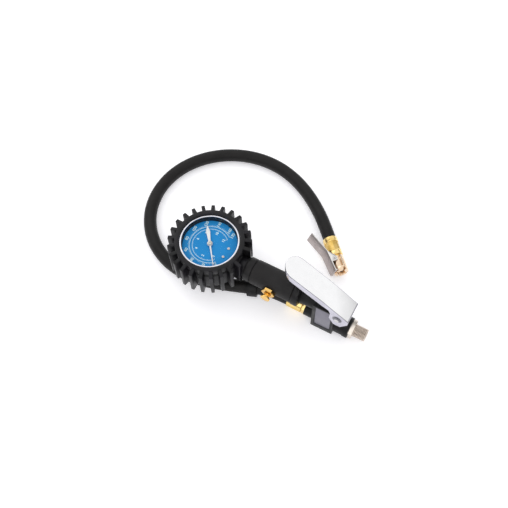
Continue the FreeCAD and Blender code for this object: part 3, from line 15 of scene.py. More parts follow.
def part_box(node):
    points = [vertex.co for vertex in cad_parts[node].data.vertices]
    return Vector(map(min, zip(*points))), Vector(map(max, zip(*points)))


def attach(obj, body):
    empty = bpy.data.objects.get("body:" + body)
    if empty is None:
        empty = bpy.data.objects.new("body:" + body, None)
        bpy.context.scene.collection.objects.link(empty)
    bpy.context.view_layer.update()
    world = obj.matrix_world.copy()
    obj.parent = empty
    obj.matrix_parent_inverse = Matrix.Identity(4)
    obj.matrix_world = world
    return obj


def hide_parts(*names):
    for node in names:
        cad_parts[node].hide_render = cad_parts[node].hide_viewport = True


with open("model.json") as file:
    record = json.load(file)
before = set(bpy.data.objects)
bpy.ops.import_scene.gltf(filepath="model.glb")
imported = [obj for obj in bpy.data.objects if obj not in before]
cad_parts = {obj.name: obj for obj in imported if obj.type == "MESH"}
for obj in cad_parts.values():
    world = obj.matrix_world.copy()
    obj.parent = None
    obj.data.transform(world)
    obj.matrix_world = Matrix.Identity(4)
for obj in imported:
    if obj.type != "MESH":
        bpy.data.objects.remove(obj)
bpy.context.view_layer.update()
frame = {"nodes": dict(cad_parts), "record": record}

MM = 0.001

# %% [markdown]
# ## Camera
# A product shot is taken from above and a little to one side, so that the dial reads well and
# the grip runs down to the right. A camera is placed by its position and by which way its right
# and up directions point. A longer lens than a phone's keeps the shape from stretching.

# %% Camera
camera_place = Vector((0.1553, -0.2847, 0.6797))
camera_right = Vector((0.87600, 0.48181, -0.02199))
camera_up = Vector((-0.41362, 0.77391, 0.47956))
camera_back = camera_right.cross(camera_up)
bpy.ops.object.camera_add()
camera = bpy.context.object
camera.name = "studio_camera"
camera.data.lens = 50.93
camera.data.sensor_width = 36
turn = Matrix((camera_right, camera_up, camera_back)).transposed()
camera.matrix_world = Matrix.LocRotScale(camera_place, turn.to_quaternion(), None)
bpy.context.scene.camera = camera
print("the camera stands", round(camera_place.length, 3), "m away")

# %% [markdown]
# ## Floor and light
# The tool lies on a light table, a white sheet lit a little from below, so its shadow stays
# faint and its dark sides get some light back. A light tent stands round it. The tent is
# bright overhead and darker near the floor, and that dark band is what draws the thin dark
# lines along polished edges: a mirror in an all-white room looks like paper. Two large soft
# lamps add a little direction. The view transform is set to Standard, so that white stays white.

# %% Floor and light
def white_floor():
    """A wide plain floor just under the tool."""
    bpy.ops.mesh.primitive_plane_add(size=8, location=(0, 0, 0))
    floor = bpy.context.object
    floor.name = "studio_floor"
    paint = bpy.data.materials.new("floor_white")
    paint.use_nodes = True
    shader = paint.node_tree.nodes["Principled BSDF"]
    shader.inputs["Base Color"].default_value = (0.90, 0.90, 0.91, 1)
    shader.inputs["Roughness"].default_value = 0.9
    shader.inputs["Emission Color"].default_value = (0.97, 0.96, 1.0, 1)
    shader.inputs["Emission Strength"].default_value = 0.36
    floor.data.materials.append(paint)


def soft_lamp(name, place, target, size, power):
    """A square lamp that faces a point."""
    bpy.ops.object.light_add(type="AREA", location=place)
    lamp = bpy.context.object
    lamp.name = name
    lamp.data.size = size
    lamp.data.energy = power
    away = Vector(place) - Vector(target)
    lamp.rotation_euler = away.to_track_quat("Z", "Y").to_euler()
    return lamp


def light_tent(horizon, overhead, height):
    """A sky that brightens from its horizon up to a height, and is even above it."""
    world = bpy.data.worlds.new("light_tent")
    world.use_nodes = True
    nodes, links = world.node_tree.nodes, world.node_tree.links
    place = nodes.new("ShaderNodeTexCoord")
    axes = nodes.new("ShaderNodeSeparateXYZ")
    climb = nodes.new("ShaderNodeMapRange")
    climb.inputs["From Max"].default_value = height
    climb.inputs["To Min"].default_value = horizon
    climb.inputs["To Max"].default_value = overhead
    links.new(place.outputs["Generated"], axes.inputs["Vector"])
    links.new(axes.outputs["Z"], climb.inputs["Value"])
    links.new(climb.outputs["Result"], nodes["Background"].inputs["Strength"])
    nodes["Background"].inputs["Color"].default_value = (1.0, 1.0, 1.0, 1)
    bpy.context.scene.world = world


white_floor()
light_tent(0.16, 1.02, 0.46)
soft_lamp("key_lamp", (-0.9, 0.5, 0.9), (0, 0, 0.03), 0.9, 1.6)
soft_lamp("fill_lamp", (0.2, -0.9, 0.7), (0, 0, 0.03), 0.8, 1.0)
bpy.context.scene.view_settings.view_transform = "Standard"

# %% [markdown]
# ## How a finish is made
# Real rubber, paint and metal are never one flat colour. Each finish starts as the shader that
# Blender calls Principled, and then small patterns are added to it. They all read the object's
# own coordinates, in metres, so a pattern's scale is a count per metre and its size is real.
# - `mottled` lets the colour drift between two tones.
# - `uneven_gloss` lets the roughness drift, as handling and polishing do.
# - `grained` raises the surface by a small real depth.

# %% How a finish is made
def finish(name, colour, roughness, metallic=0.0):
    """A new material with one even finish."""
    material = bpy.data.materials.new(name)
    material.use_nodes = True
    shader = material.node_tree.nodes["Principled BSDF"]
    shader.inputs["Base Color"].default_value = (*colour, 1)
    shader.inputs["Roughness"].default_value = roughness
    shader.inputs["Metallic"].default_value = metallic
    return material


def shader_of(material):
    """The material's main shader."""
    return material.node_tree.nodes["Principled BSDF"]


def add_noise(material, scale, detail, stretch=(1, 1, 1)):
    """A cloudy pattern on the object's own coordinates."""
    nodes, links = material.node_tree.nodes, material.node_tree.links
    place = nodes.new("ShaderNodeTexCoord")
    mapping = nodes.new("ShaderNodeMapping")
    mapping.inputs["Scale"].default_value = stretch
    noise = nodes.new("ShaderNodeTexNoise")
    noise.inputs["Scale"].default_value = scale
    noise.inputs["Detail"].default_value = detail
    links.new(place.outputs["Object"], mapping.inputs["Vector"])
    links.new(mapping.outputs["Vector"], noise.inputs["Vector"])
    return noise


def mottled(material, other, scale):
    """Let the colour drift between the finish's own tone and another."""
    nodes, links = material.node_tree.nodes, material.node_tree.links
    noise = add_noise(material, scale, 4)
    ramp = nodes.new("ShaderNodeValToRGB")
    socket = shader_of(material).inputs["Base Color"]
    ramp.color_ramp.elements[0].position = 0.35
    ramp.color_ramp.elements[1].position = 0.68
    ramp.color_ramp.elements[0].color = tuple(socket.default_value)
    ramp.color_ramp.elements[1].color = (*other, 1)
    links.new(noise.outputs["Fac"], ramp.inputs["Fac"])
    links.new(ramp.outputs["Color"], socket)


def uneven_gloss(material, low, high, scale):
    """Let the roughness drift between two values."""
    nodes, links = material.node_tree.nodes, material.node_tree.links
    noise = add_noise(material, scale, 3)
    spread = nodes.new("ShaderNodeMapRange")
    spread.inputs["From Min"].default_value = 0.3
    spread.inputs["From Max"].default_value = 0.7
    spread.inputs["To Min"].default_value = low
    spread.inputs["To Max"].default_value = high
    links.new(noise.outputs["Fac"], spread.inputs["Value"])
    links.new(spread.outputs["Result"], shader_of(material).inputs["Roughness"])


def grained(material, scale, depth, stretch=(1, 1, 1)):
    """Raise the surface by a small depth, in metres."""
    nodes, links = material.node_tree.nodes, material.node_tree.links
    noise = add_noise(material, scale, 2, stretch)
    bump = nodes.new("ShaderNodeBump")
    bump.inputs["Distance"].default_value = depth
    bump.inputs["Strength"].default_value = 1.0
    links.new(noise.outputs["Fac"], bump.inputs["Height"])
    links.new(bump.outputs["Normal"], shader_of(material).inputs["Normal"])


print("helpers ready: finish, mottled, uneven_gloss, grained")

# %% [markdown]
# ## Rubber and plastic finishes
# The boot is moulded rubber with a faint violet cast where the light catches it. The hose is
# smoother and duller. The grip has a fine pebble that keeps it from slipping, and its collars
# are plain moulded plastic. Black things look black because they send little light back, so
# their colours stay near zero and their gloss does the drawing.

# %% Rubber and plastic finishes
def black_finish(name, colour, drift, gloss, pebble, depth, sheen=0.35):
    """A black surface with drifting tone and gloss and a fine pebble."""
    material = finish(name, colour, gloss[0])
    shader_of(material).inputs["Specular IOR Level"].default_value = sheen
    mottled(material, drift, 60)
    uneven_gloss(material, *gloss, 90)
    grained(material, pebble, depth)
    return material


boot_rubber = black_finish("boot_rubber", (0.006, 0.006, 0.0065), (0.013, 0.012, 0.016),
                           (0.30, 0.46), 700, 0.00006, 0.26)
hose_rubber = black_finish("hose_rubber", (0.008, 0.0074, 0.0074), (0.013, 0.0118, 0.0118),
                           (0.42, 0.55), 500, 0.00004, 0.22)
grip_pebble = black_finish("grip_pebble", (0.013, 0.0122, 0.0125), (0.021, 0.0198, 0.0202),
                           (0.44, 0.60), 1500, 0.00012, 0.20)
collar_plastic = black_finish("collar_plastic", (0.009, 0.0085, 0.009), (0.015, 0.0143, 0.015),
                              (0.30, 0.42), 900, 0.00003, 0.22)
casting_paint = black_finish("casting_paint", (0.006, 0.006, 0.0065), (0.011, 0.011, 0.012),
                             (0.36, 0.48), 1100, 0.00006, 0.22)
clip_rubber = black_finish("clip_rubber", (0.006, 0.006, 0.0065), (0.011, 0.011, 0.012),
                           (0.34, 0.46), 700, 0.00005, 0.22)
seal_rubber = black_finish("seal_rubber", (0.012, 0.012, 0.012), (0.020, 0.020, 0.020),
                           (0.40, 0.55), 900, 0.00004)
label_grey = finish("label_grey", (0.160, 0.152, 0.192), 0.38)
mottled(label_grey, (0.200, 0.192, 0.234), 45)
uneven_gloss(label_grey, 0.32, 0.45, 120)
grained(label_grey, 1600, 0.00002)
print("black finishes:", [item.name for item in bpy.data.materials if "rubber" in item.name])

# %% [markdown]
# ## Metal finishes
# The lever and the gauge's ring are chromed, so they show little of their own and much of the
# room. The brass parts differ: the bleed valve is deep gold, the ferrules are yellow, and the
# chuck is a pale copper pink. Turned and drawn metal keeps fine lines along its length, which
# the stretched noise draws.

# %% Metal finishes
def bare_metal(name, colour, drift, gloss, lines=(1, 1, 1), depth=0.000006, scale=260):
    """A metal with drifting tone, uneven polish and fine tool lines."""
    material = finish(name, colour, gloss[0], metallic=1.0)
    mottled(material, drift, 110)
    uneven_gloss(material, *gloss, 140)
    grained(material, scale, depth, stretch=lines)
    return material


lever_chrome = bare_metal("lever_chrome", (0.90, 0.90, 0.91), (0.93, 0.93, 0.94),
                          (0.05, 0.10), (1, 1, 1), 0.000004, 90)
bezel_chrome = bare_metal("bezel_chrome", (0.74, 0.73, 0.78), (0.83, 0.82, 0.86),
                          (0.07, 0.14), (1, 1, 4))
bleed_brass = bare_metal("bleed_brass", (0.80, 0.47, 0.12), (0.92, 0.62, 0.22),
                         (0.12, 0.22), (1, 5, 1))
ferrule_brass = bare_metal("ferrule_brass", (0.85, 0.61, 0.21), (0.95, 0.75, 0.36),
                           (0.12, 0.24), (1, 1, 5))
# Darker brass for the ferrule's crimp flats: a painted dark reflection.
crimp_flat_painted_reflection = bare_metal("crimp_flat_painted_reflection", (0.58, 0.38, 0.10), (0.70, 0.50, 0.19),
                           (0.14, 0.24), (1, 1, 5))
chuck_brass = bare_metal("chuck_brass", (0.84, 0.64, 0.45), (0.92, 0.75, 0.57),
                         (0.16, 0.28), (1, 1, 5))
valve_brass = bare_metal("valve_brass", (0.74, 0.52, 0.20), (0.82, 0.62, 0.28), (0.20, 0.34))
works_brass = bare_metal("works_brass", (0.72, 0.54, 0.24), (0.82, 0.64, 0.32), (0.22, 0.36))
tube_bronze = bare_metal("tube_bronze", (0.62, 0.36, 0.18), (0.72, 0.46, 0.24), (0.22, 0.34))
inlet_nickel = bare_metal("inlet_nickel", (0.68, 0.61, 0.54), (0.80, 0.74, 0.67),
                          (0.16, 0.28), (5, 1, 1))
clip_steel = bare_metal("clip_steel", (0.44, 0.385, 0.37), (0.52, 0.465, 0.45),
                        (0.34, 0.46), (3, 3, 1), 0.000002)
pin_steel = bare_metal("pin_steel", (0.50, 0.49, 0.50), (0.62, 0.61, 0.62), (0.16, 0.26))
screw_steel = bare_metal("screw_steel", (0.46, 0.44, 0.42), (0.60, 0.58, 0.55), (0.24, 0.34))
spring_steel = bare_metal("spring_steel", (0.45, 0.45, 0.46), (0.56, 0.56, 0.57), (0.24, 0.36))
# Darker nickel for the thread's flanks: painted shade between the crests.
thread_flank_painted_shade = bare_metal("thread_flank_painted_shade", (0.50, 0.42, 0.36), (0.62, 0.54, 0.47), (0.22, 0.34))
# Bright steel for the clip's cheeks: a painted highlight, with a smoother finish.
clip_cheek_painted_highlight = bare_metal("clip_cheek_painted_highlight", (0.80, 0.78, 0.75), (0.90, 0.88, 0.86), (0.10, 0.20))
# Darker lavender chrome for the lever's sides: painted shade, on a rougher pressed finish.
lever_side_painted_shade = bare_metal("lever_side_painted_shade", (0.52, 0.51, 0.58), (0.60, 0.59, 0.66), (0.22, 0.32))
# Dark steel for the pin heads' rims: a painted shadow round each head.
rivet_rim_painted_shadow = bare_metal("rivet_rim_painted_shadow", (0.13, 0.13, 0.15), (0.20, 0.20, 0.22), (0.16, 0.24))
# Dark chrome for the lever's roll: a painted dark reflection line.
lever_roll_painted_reflection = bare_metal("lever_roll_painted_reflection", (0.22, 0.22, 0.25), (0.30, 0.30, 0.33), (0.10, 0.18))
case_steel = finish("case_steel", (0.012, 0.013, 0.018), 0.5)
mottled(case_steel, (0.022, 0.024, 0.032), 90)
uneven_gloss(case_steel, 0.42, 0.60, 120)
print("metals:", sum(1 for item in bpy.data.materials
                     if item.use_nodes and "Principled BSDF" in item.node_tree.nodes
                     and item.node_tree.nodes["Principled BSDF"].inputs["Metallic"].default_value))

# %% [markdown]
# ## Dial, print and glass
# The dial is a sheet of aluminium printed blue under a clear window, and its scale and pointer
# are white. The window is a thin flat pane. It is left almost wholly clear, because a stronger
# gloss of its own would lie over the fine print as bright specks.

# %% Dial, print and glass
dial_blue = finish("dial_blue", (0.014, 0.240, 0.590), 0.35)
shader_of(dial_blue).inputs["Specular IOR Level"].default_value = 0.12
mottled(dial_blue, (0.022, 0.272, 0.645), 28)
uneven_gloss(dial_blue, 0.30, 0.42, 200)
print_white = finish("print_white", (0.70, 0.92, 0.92), 0.45)
mottled(print_white, (0.62, 0.86, 0.90), 300)
pointer_white = finish("pointer_white", (0.86, 0.86, 0.86), 0.30)
mottled(pointer_white, (0.78, 0.79, 0.80), 180)
uneven_gloss(pointer_white, 0.24, 0.36, 220)
window_glass = finish("window_glass", (0.03, 0.04, 0.06), 0.02)
window_alpha = 0.006
shader_of(window_glass).inputs["Alpha"].default_value = window_alpha
window_glass.surface_render_method = "BLENDED"
grained(window_glass, 40, 0.000003)
print("the window lets through", 1 - window_alpha, "of the light")

# %% [markdown]
# ## Put the finishes on the CAD parts
# A CAD part keeps its own mesh, and only its material slots are filled. Every part gets a
# finish, also those inside, because the other views and the opened model show them.

# %% Put the finishes on the CAD parts
finish_of = {
    "gauge_boot": boot_rubber, "gauge_case": case_steel, "bezel_ring": bezel_chrome,
    "gauge_glass": window_glass, "glass_gasket": seal_rubber, "dial_plate": dial_blue,
    "dial_screws": screw_steel, "pointer_stop": screw_steel, "pointer": pointer_white,
    "pinion_arbor": works_brass, "sector_gear": works_brass, "connecting_link": works_brass,
    "bourdon_tube": tube_bronze, "bourdon_tip": works_brass, "gauge_socket": works_brass,
    "movement_lower_plate": works_brass, "movement_upper_plate": works_brass,
    "movement_spacers": works_brass, "movement_screws": screw_steel, "hairspring": tube_bronze,
    "neck_collar": collar_plastic, "grip_sleeve": grip_pebble, "rear_collar": collar_plastic,
    "body_casting": casting_paint, "label_plate": label_grey, "valve_seat": valve_brass,
    "poppet_washer": seal_rubber, "valve_poppet": valve_brass, "push_rod": pin_steel,
    "rod_gland": valve_brass, "rod_seal": seal_rubber, "valve_plug": valve_brass,
    "valve_spring": spring_steel, "press_lever": lever_chrome, "lever_pin": pin_steel,
    "inlet_fitting": inlet_nickel, "bleed_body": bleed_brass, "bleed_button": bleed_brass,
    "bleed_washer": seal_rubber, "bleed_spring": spring_steel, "air_hose": hose_rubber,
    "hose_nipple": ferrule_brass, "hose_ferrule": ferrule_brass, "hose_clip": clip_rubber,
    "chuck_ferrule": ferrule_brass, "chuck_nipple": ferrule_brass, "chuck_body": chuck_brass,
    "chuck_seal": seal_rubber, "chuck_pin": ferrule_brass, "chuck_clip": clip_steel,
    "chuck_clip_pin": pin_steel, "chuck_clip_spring": spring_steel,
}
body_of = {node: body for body, nodes in frame["record"]["behaviour"]["bodies"].items()
           for node in nodes}


def give(piece, material):
    """Fill all of a piece's material slots with one material."""
    if not piece.material_slots:
        piece.data.materials.append(material)
    for slot in piece.material_slots:
        slot.material = material


for node, part in frame["nodes"].items():
    give(part, finish_of[node])
print("parts with a finish:", len(frame["nodes"]))

# %% [markdown]
# ## Small helpers for modelling
# Operators act on what is selected, so each step first clears the selection. Faces are picked in
# code by where their centre lies and which way they point, which is what a person does by eye.

# %% Small helpers for modelling
def only(piece):
    """Select one piece and make it active."""
    bpy.ops.object.select_all(action="DESELECT")
    piece.select_set(True)
    bpy.context.view_layer.objects.active = piece


def settle(piece, name):
    """Name a new piece and move its place into its mesh."""
    piece.name = name
    only(piece)
    bpy.ops.object.transform_apply(location=True, rotation=True, scale=True)
    return piece


def pick_faces(piece, test):
    """Enter edit mode with only the faces selected whose centre and normal pass a test."""
    only(piece)
    bpy.ops.object.mode_set(mode="EDIT")
    bpy.ops.mesh.select_mode(type="FACE")
    bpy.ops.mesh.select_all(action="DESELECT")
    bpy.ops.object.mode_set(mode="OBJECT")
    for face in piece.data.polygons:
        face.select = bool(test(face.center, face.normal))
    bpy.ops.object.mode_set(mode="EDIT")


def round_edges(piece, width, segments, angle=32):
    """Round a piece's sharp edges and shade it smooth up to them."""
    only(piece)
    bevel = piece.modifiers.new("soft_edges", "BEVEL")
    bevel.width = width
    bevel.segments = segments
    bevel.limit_method = "ANGLE"
    bevel.angle_limit = math.radians(angle)
    bpy.ops.object.modifier_apply(modifier=bevel.name)
    bpy.ops.object.shade_smooth_by_angle(angle=math.radians(angle))


def dress(piece, node, material, *also):
    """Show a new piece in place of CAD nodes, on the first one's body and in its slot."""
    give(piece, material)
    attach(piece, body_of[node])
    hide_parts(node, *also)
    return piece


print("helpers ready: only, settle, pick_faces, round_edges, dress")

# %% [markdown]
# ## Parts with broken edges
# A cast, turned or pressed part never has a knife edge, and the thin bright line where light
# runs along a rounded edge is what makes it look real. A copy of the CAD part is made, its
# loose triangles are merged, its flats are cleared of their diagonals, and its sharp edges are
# rounded by a real radius. The copy is shown in place of the CAD part.

# %% Parts with broken edges
def merged_copy(node):
    """A copy of a CAD part as one joined mesh with clean flats."""
    piece = frame["nodes"][node].copy()
    piece.data = piece.data.copy()
    bpy.context.collection.objects.link(piece)
    piece.parent = None
    piece.matrix_world = Matrix.Identity(4)
    piece.name = node + "_finished"
    for key in list(piece.keys()):
        del piece[key]
    only(piece)
    bpy.ops.mesh.customdata_custom_splitnormals_clear()
    bpy.ops.object.mode_set(mode="EDIT")
    bpy.ops.mesh.select_all(action="SELECT")
    bpy.ops.mesh.remove_doubles(threshold=0.000002)
    bpy.ops.mesh.dissolve_limited(angle_limit=math.radians(0.4))
    bpy.ops.object.mode_set(mode="OBJECT")
    return piece


edge_radius = {
    "bezel_ring": 0.92, "neck_collar": 0.7, "grip_sleeve": 0.6, "rear_collar": 1.0,
    "body_casting": 0.7, "label_plate": 0.15, "lever_pin": 0.5, "inlet_fitting": 0.15,
    "bleed_body": 0.35, "bleed_button": 0.3, "hose_nipple": 0.35, "hose_ferrule": 0.6,
    "hose_clip": 0.8, "chuck_body": 0.35, "chuck_clip": 0.35, "chuck_clip_pin": 0.25,
    "dial_screws": 0.2, "pointer": 0.12, "valve_plug": 0.3, "chuck_nipple": 0.2,
}
finished = {}
for node, radius in edge_radius.items():
    piece = merged_copy(node)
    round_edges(piece, radius * MM, 4 if node == "bezel_ring" else 2)
    finished[node] = dress(piece, node, finish_of[node])
print("rounded parts:", {node: len(piece.data.polygons) for node, piece in finished.items()})

# %% [markdown]
# ## Press lever
# The lever is pressed from sheet, and its top face rolls over into its sides, while the free
# rims stay thin and square. So the edges round the top face get a large radius, and only then
# does everything else get a small one. The sides take a second material, a rougher chrome as
# they came from the press, whose darker lavender colour is painted shade on the faces turned
# away from the top. The roll between them mirrors the dark edge of the room as one thin line,
# and a third, darker chrome paints that dark reflection onto it.

# %% Press lever
def pick_top_rim(piece):
    """Enter edit mode with the edges selected that part an upward face from a side face."""
    lean = 0.5
    normals = {}
    for face in piece.data.polygons:
        for key in face.edge_keys:
            normals.setdefault(key, []).append(face.normal.copy())
    only(piece)
    bpy.ops.object.mode_set(mode="EDIT")
    bpy.ops.mesh.select_mode(type="EDGE")
    bpy.ops.mesh.select_all(action="DESELECT")
    bpy.ops.object.mode_set(mode="OBJECT")
    count = 0
    for edge in piece.data.edges:
        sides = normals.get(edge.key, [])
        if len(sides) == 2:
            high, low = sorted((side.z for side in sides), reverse=True)
            edge.select = high > lean and low < lean - 0.15
            count += edge.select
    bpy.ops.object.mode_set(mode="EDIT")
    return count


roll_face_area = 60 * MM * MM
lever = merged_copy("press_lever")
rim_edges = pick_top_rim(lever)
bpy.ops.mesh.bevel(offset=1.5 * MM, segments=5, affect="EDGES")
bpy.ops.object.mode_set(mode="OBJECT")
round_edges(lever, 0.25 * MM, 2, 40)
dress(lever, "press_lever", lever_chrome)
lever.data.materials.append(lever_side_painted_shade)
lever.data.materials.append(lever_roll_painted_reflection)
# Faces turned away from the top get painted shade; small faces on the roll get a painted dark
# reflection.
for face in lever.data.polygons:
    if face.normal.z < 0.40:
        face.material_index = 1
    elif face.normal.z < 0.70 and face.area < roll_face_area:
        face.material_index = 2
print("edges rolled over round the lever's top:", rim_edges)

# %% [markdown]
# ## Thread on the inlet
# The thread's flanks are painted a darker nickel than its crests, a painted shade that draws the
# fine ridges as light and dark lines from a distance. The flanks are the faces beyond the
# hexagon that lean along the fitting's axis without facing it squarely.

# %% Thread on the inlet
thread_pitch, thread_ridges = 1.411 * MM, 9
inlet = finished["inlet_fitting"]
inlet.data.materials.append(thread_flank_painted_shade)
thread_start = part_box("inlet_fitting")[1][0] - thread_ridges * thread_pitch - 0.3 * MM
flanks = 0
# The leaning flank faces get the painted shade.
for face in inlet.data.polygons:
    leaning = face.center.x > thread_start and 0.4 < abs(face.normal.x) < 0.97
    face.material_index = int(leaning)
    flanks += leaning
print("faces on the thread's flanks:", flanks)

# %% [markdown]
# ## Rim of the pivot pin's heads
# The lever turns on a riveted pin. The sloping rim of each head is painted dark, a painted shadow
# for the gap round the head, and the middle keeps the pin's own steel. The rim's faces are those
# that lean away from the pin's axis.

# %% Rim of the pivot pin's heads
pivot_pin = finished["lever_pin"]
pivot_pin.data.materials.append(rivet_rim_painted_shadow)
# The rim faces get the painted shadow.
for face in pivot_pin.data.polygons:
    face.material_index = int(0.2 < abs(face.normal.y) < 0.96)
print("faces on the rims:", sum(face.material_index for face in pivot_pin.data.polygons))

# %% [markdown]
# ## Chuck clip's cheeks
# The clip is a strip of spring steel. Its two cheeks take a smoother steel than its thumb plate,
# whose much brighter colour is a painted highlight. The cheeks are the faces square to the pin
# that the clip turns on.

# %% Chuck clip's cheeks
clip_joint = next(joint for joint in frame["record"]["behaviour"]["joints"]
                  if joint["child"] == body_of["chuck_clip"])
clip_pin_axis = Vector(clip_joint["axis"]).normalized()
clip = finished["chuck_clip"]
clip.data.materials.append(clip_cheek_painted_highlight)
cheeks = 0
# The cheek faces get the painted highlight.
for face in clip.data.polygons:
    face.material_index = int(abs(face.normal.dot(clip_pin_axis)) > 0.5)
    cheeks += face.material_index
print("faces on the clip's cheeks:", cheeks)

# %% [markdown]
# ## Cap on the pointer
# The pointer is pressed onto its arbor by a small turned cap of bright metal, with a dimple in
# its middle. It is a cylinder whose top is inset twice: once up, once down.

# %% Cap on the pointer
pointer_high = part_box("pointer")[1][2]
pointer_x = (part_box("pinion_arbor")[0][0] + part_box("pinion_arbor")[1][0]) / 2
bpy.ops.mesh.primitive_cylinder_add(vertices=48, radius=2.6 * MM, depth=0.5 * MM,
                                    location=(pointer_x, 0, pointer_high + 0.2 * MM))
cap = settle(bpy.context.object, "pointer_cap")
pick_faces(cap, lambda place, normal: normal.z > 0.9)
bpy.ops.mesh.inset(thickness=0.7 * MM)
bpy.ops.mesh.extrude_region_move(TRANSFORM_OT_translate={"value": (0, 0, 0.25 * MM)})
bpy.ops.mesh.inset(thickness=1.0 * MM)
bpy.ops.mesh.extrude_region_move(TRANSFORM_OT_translate={"value": (0, 0, -0.4 * MM)})
bpy.ops.object.mode_set(mode="OBJECT")
round_edges(cap, 0.12 * MM, 2, 30)
give(cap, screw_steel)
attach(cap, body_of["pointer"])
print("faces on the cap:", len(cap.data.polygons))

# %% [markdown]
# ## Rubber boot
# The boot is a thick cup with 24 fins that take the knock when the tool is dropped. One fin is
# left out where the grip comes in. The cup is grown from a cylinder by insets and extrusions,
# and one fin is shaped from a box, narrowed to its tip and cut back at its top, then copied
# round. A short boss closes round the gauge's stem. Fins, boss and cup run into each other, as
# moulded rubber does.

# %% Rubber boot
gauge_low, gauge_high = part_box("bezel_ring")
gauge_x = (gauge_low[0] + gauge_high[0]) / 2
face_height = gauge_high[2]
boot_low, boot_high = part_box("gauge_boot")
case_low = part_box("gauge_case")[0]
fin_reach = (boot_high[1] - boot_low[1]) / 2
boot_fin_low = 23.6 * MM
fin_places = 25
foot_radius = 30 * MM
floor_thickness = 1.2 * MM
cup_radius = 35.4 * MM
band_low, band_high = 24.5 * MM, 45.0 * MM
groove_radius = 34.1 * MM
groove_low, groove_high = 45.8 * MM, 48.6 * MM
rim_low = 49.8 * MM
ledge_below_face = 5.6 * MM
fin_thickness = 3.9 * MM
ring_radius = (gauge_high[1] - gauge_low[1]) / 2
grip_height = (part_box("grip_sleeve")[0][2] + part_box("grip_sleeve")[1][2]) / 2


def boot_cup():
    """The cup, grown from a cylinder: floor, band, groove, rim, mouth and inside."""
    floor_height = boot_low[2]
    bpy.ops.mesh.primitive_cylinder_add(vertices=120, radius=foot_radius, depth=floor_thickness,
                                        location=(gauge_x, 0, floor_height + floor_thickness / 2))
    cup = settle(bpy.context.object, "boot_moulded")
    middle = (gauge_x, 0, 0)
    levels = ((cup_radius, band_low), (cup_radius, band_high), (groove_radius, groove_low),
              (groove_radius, groove_high), (cup_radius, rim_low), (cup_radius, boot_high[2]))
    radius, height = foot_radius, floor_height + floor_thickness
    pick_faces(cup, lambda place, normal: normal.z > 0.9)
    for next_radius, next_height in levels:
        bpy.ops.mesh.extrude_region_move(
            TRANSFORM_OT_translate={"value": (0, 0, next_height - height)})
        ratio = next_radius / radius
        bpy.ops.transform.resize(value=(ratio, ratio, 1), center_override=middle)
        radius, height = next_radius, next_height
    mouth_depth = boot_high[2] - face_height + ledge_below_face
    bpy.ops.mesh.inset(thickness=cup_radius - ring_radius - 0.15 * MM)
    bpy.ops.mesh.extrude_region_move(TRANSFORM_OT_translate={"value": (0, 0, -mouth_depth)})
    bpy.ops.mesh.inset(thickness=1.0 * MM)
    inside = height - mouth_depth - case_low[2]
    bpy.ops.mesh.extrude_region_move(TRANSFORM_OT_translate={"value": (0, 0, -inside)})
    bpy.ops.object.mode_set(mode="OBJECT")
    round_edges(cup, 0.7 * MM, 2, 25)
    return cup


def boot_fin():
    """One fin on the +X side of the gauge's axis."""
    root_radius = cup_radius - 1.5 * MM
    low, high = boot_fin_low, boot_high[2] - 0.3 * MM
    bpy.ops.mesh.primitive_cube_add(size=1, location=(
        gauge_x + (root_radius + fin_reach) / 2, 0, (low + high) / 2))
    fin = bpy.context.object
    fin.scale = (fin_reach - root_radius, fin_thickness, high - low)
    settle(fin, "boot_fin")
    tip = (gauge_x + fin_reach, 0, low + 0.12 * (high - low))
    pick_faces(fin, lambda place, normal: normal.x > 0.9)
    bpy.ops.transform.resize(value=(1, 0.92, 0.925), center_override=tip)
    bpy.ops.object.mode_set(mode="OBJECT")
    round_edges(fin, 0.55 * MM, 3, 25)
    return fin


def stem_boss():
    """The short round boss that closes round the gauge's stem, towards the grip."""
    start, end = gauge_x + cup_radius - 1.5 * MM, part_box("neck_collar")[0][0] - 0.4 * MM
    bpy.ops.mesh.primitive_cylinder_add(vertices=48, radius=10 * MM, depth=end - start,
                                        location=((start + end) / 2, 0, grip_height),
                                        rotation=(0, math.radians(90), 0))
    boss = settle(bpy.context.object, "boot_boss")
    pick_faces(boss, lambda place, normal: normal.x > 0.9)
    bpy.ops.mesh.inset(thickness=2.6 * MM)
    bpy.ops.mesh.extrude_region_move(TRANSFORM_OT_translate={"value": (-6 * MM, 0, 0)})
    bpy.ops.object.mode_set(mode="OBJECT")
    round_edges(boss, 0.7 * MM, 2, 25)
    return boss


boot = boot_cup()
fin = boot_fin()
fins = [stem_boss()]
for place in range(1, fin_places):
    copy = fin.copy()
    copy.data = fin.data.copy()
    bpy.context.collection.objects.link(copy)
    about = Matrix.Translation((gauge_x, 0, 0))
    copy.data.transform(about @ Matrix.Rotation(math.tau * place / fin_places, 4, "Z")
                        @ about.inverted())
    fins.append(copy)
bpy.data.objects.remove(fin)
only(boot)
for copy in fins:
    copy.select_set(True)
bpy.ops.object.join()
dress(boot, "gauge_boot", boot_rubber)
print("fins on the boot:", len(fins) - 1, "faces:", len(boot.data.polygons))

# %% [markdown]
# ## Scale on the dial
# The scale runs clockwise through three quarters of a turn. The inner arc counts to 12 over the
# whole of it, and the outer one stops at 170, a little short of the 174 that 12 stands for.
# Print is thin, but a closed sliver with a little height keeps its faces from fighting with the
# dial's. An arc is a small block spun about the pointer's axis.

# %% Scale on the dial
dial_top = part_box("dial_plate")[1][2]
scale_zero, scale_sweep = -45.0, -270.0
print_height = 0.03 * MM
outer_full, inner_full = 174.0, 12.0
outer_end, outer_step = 170, 2.5
outer_arc, inner_arc = 20.9 * MM, 18.2 * MM
outer_numbers, inner_numbers = 24.8 * MM, 14.2 * MM


def on_dial(radius, angle):
    """A point on the dial."""
    turned = math.radians(angle)
    return (gauge_x + radius * math.cos(turned), radius * math.sin(turned),
            dial_top + print_height / 2)


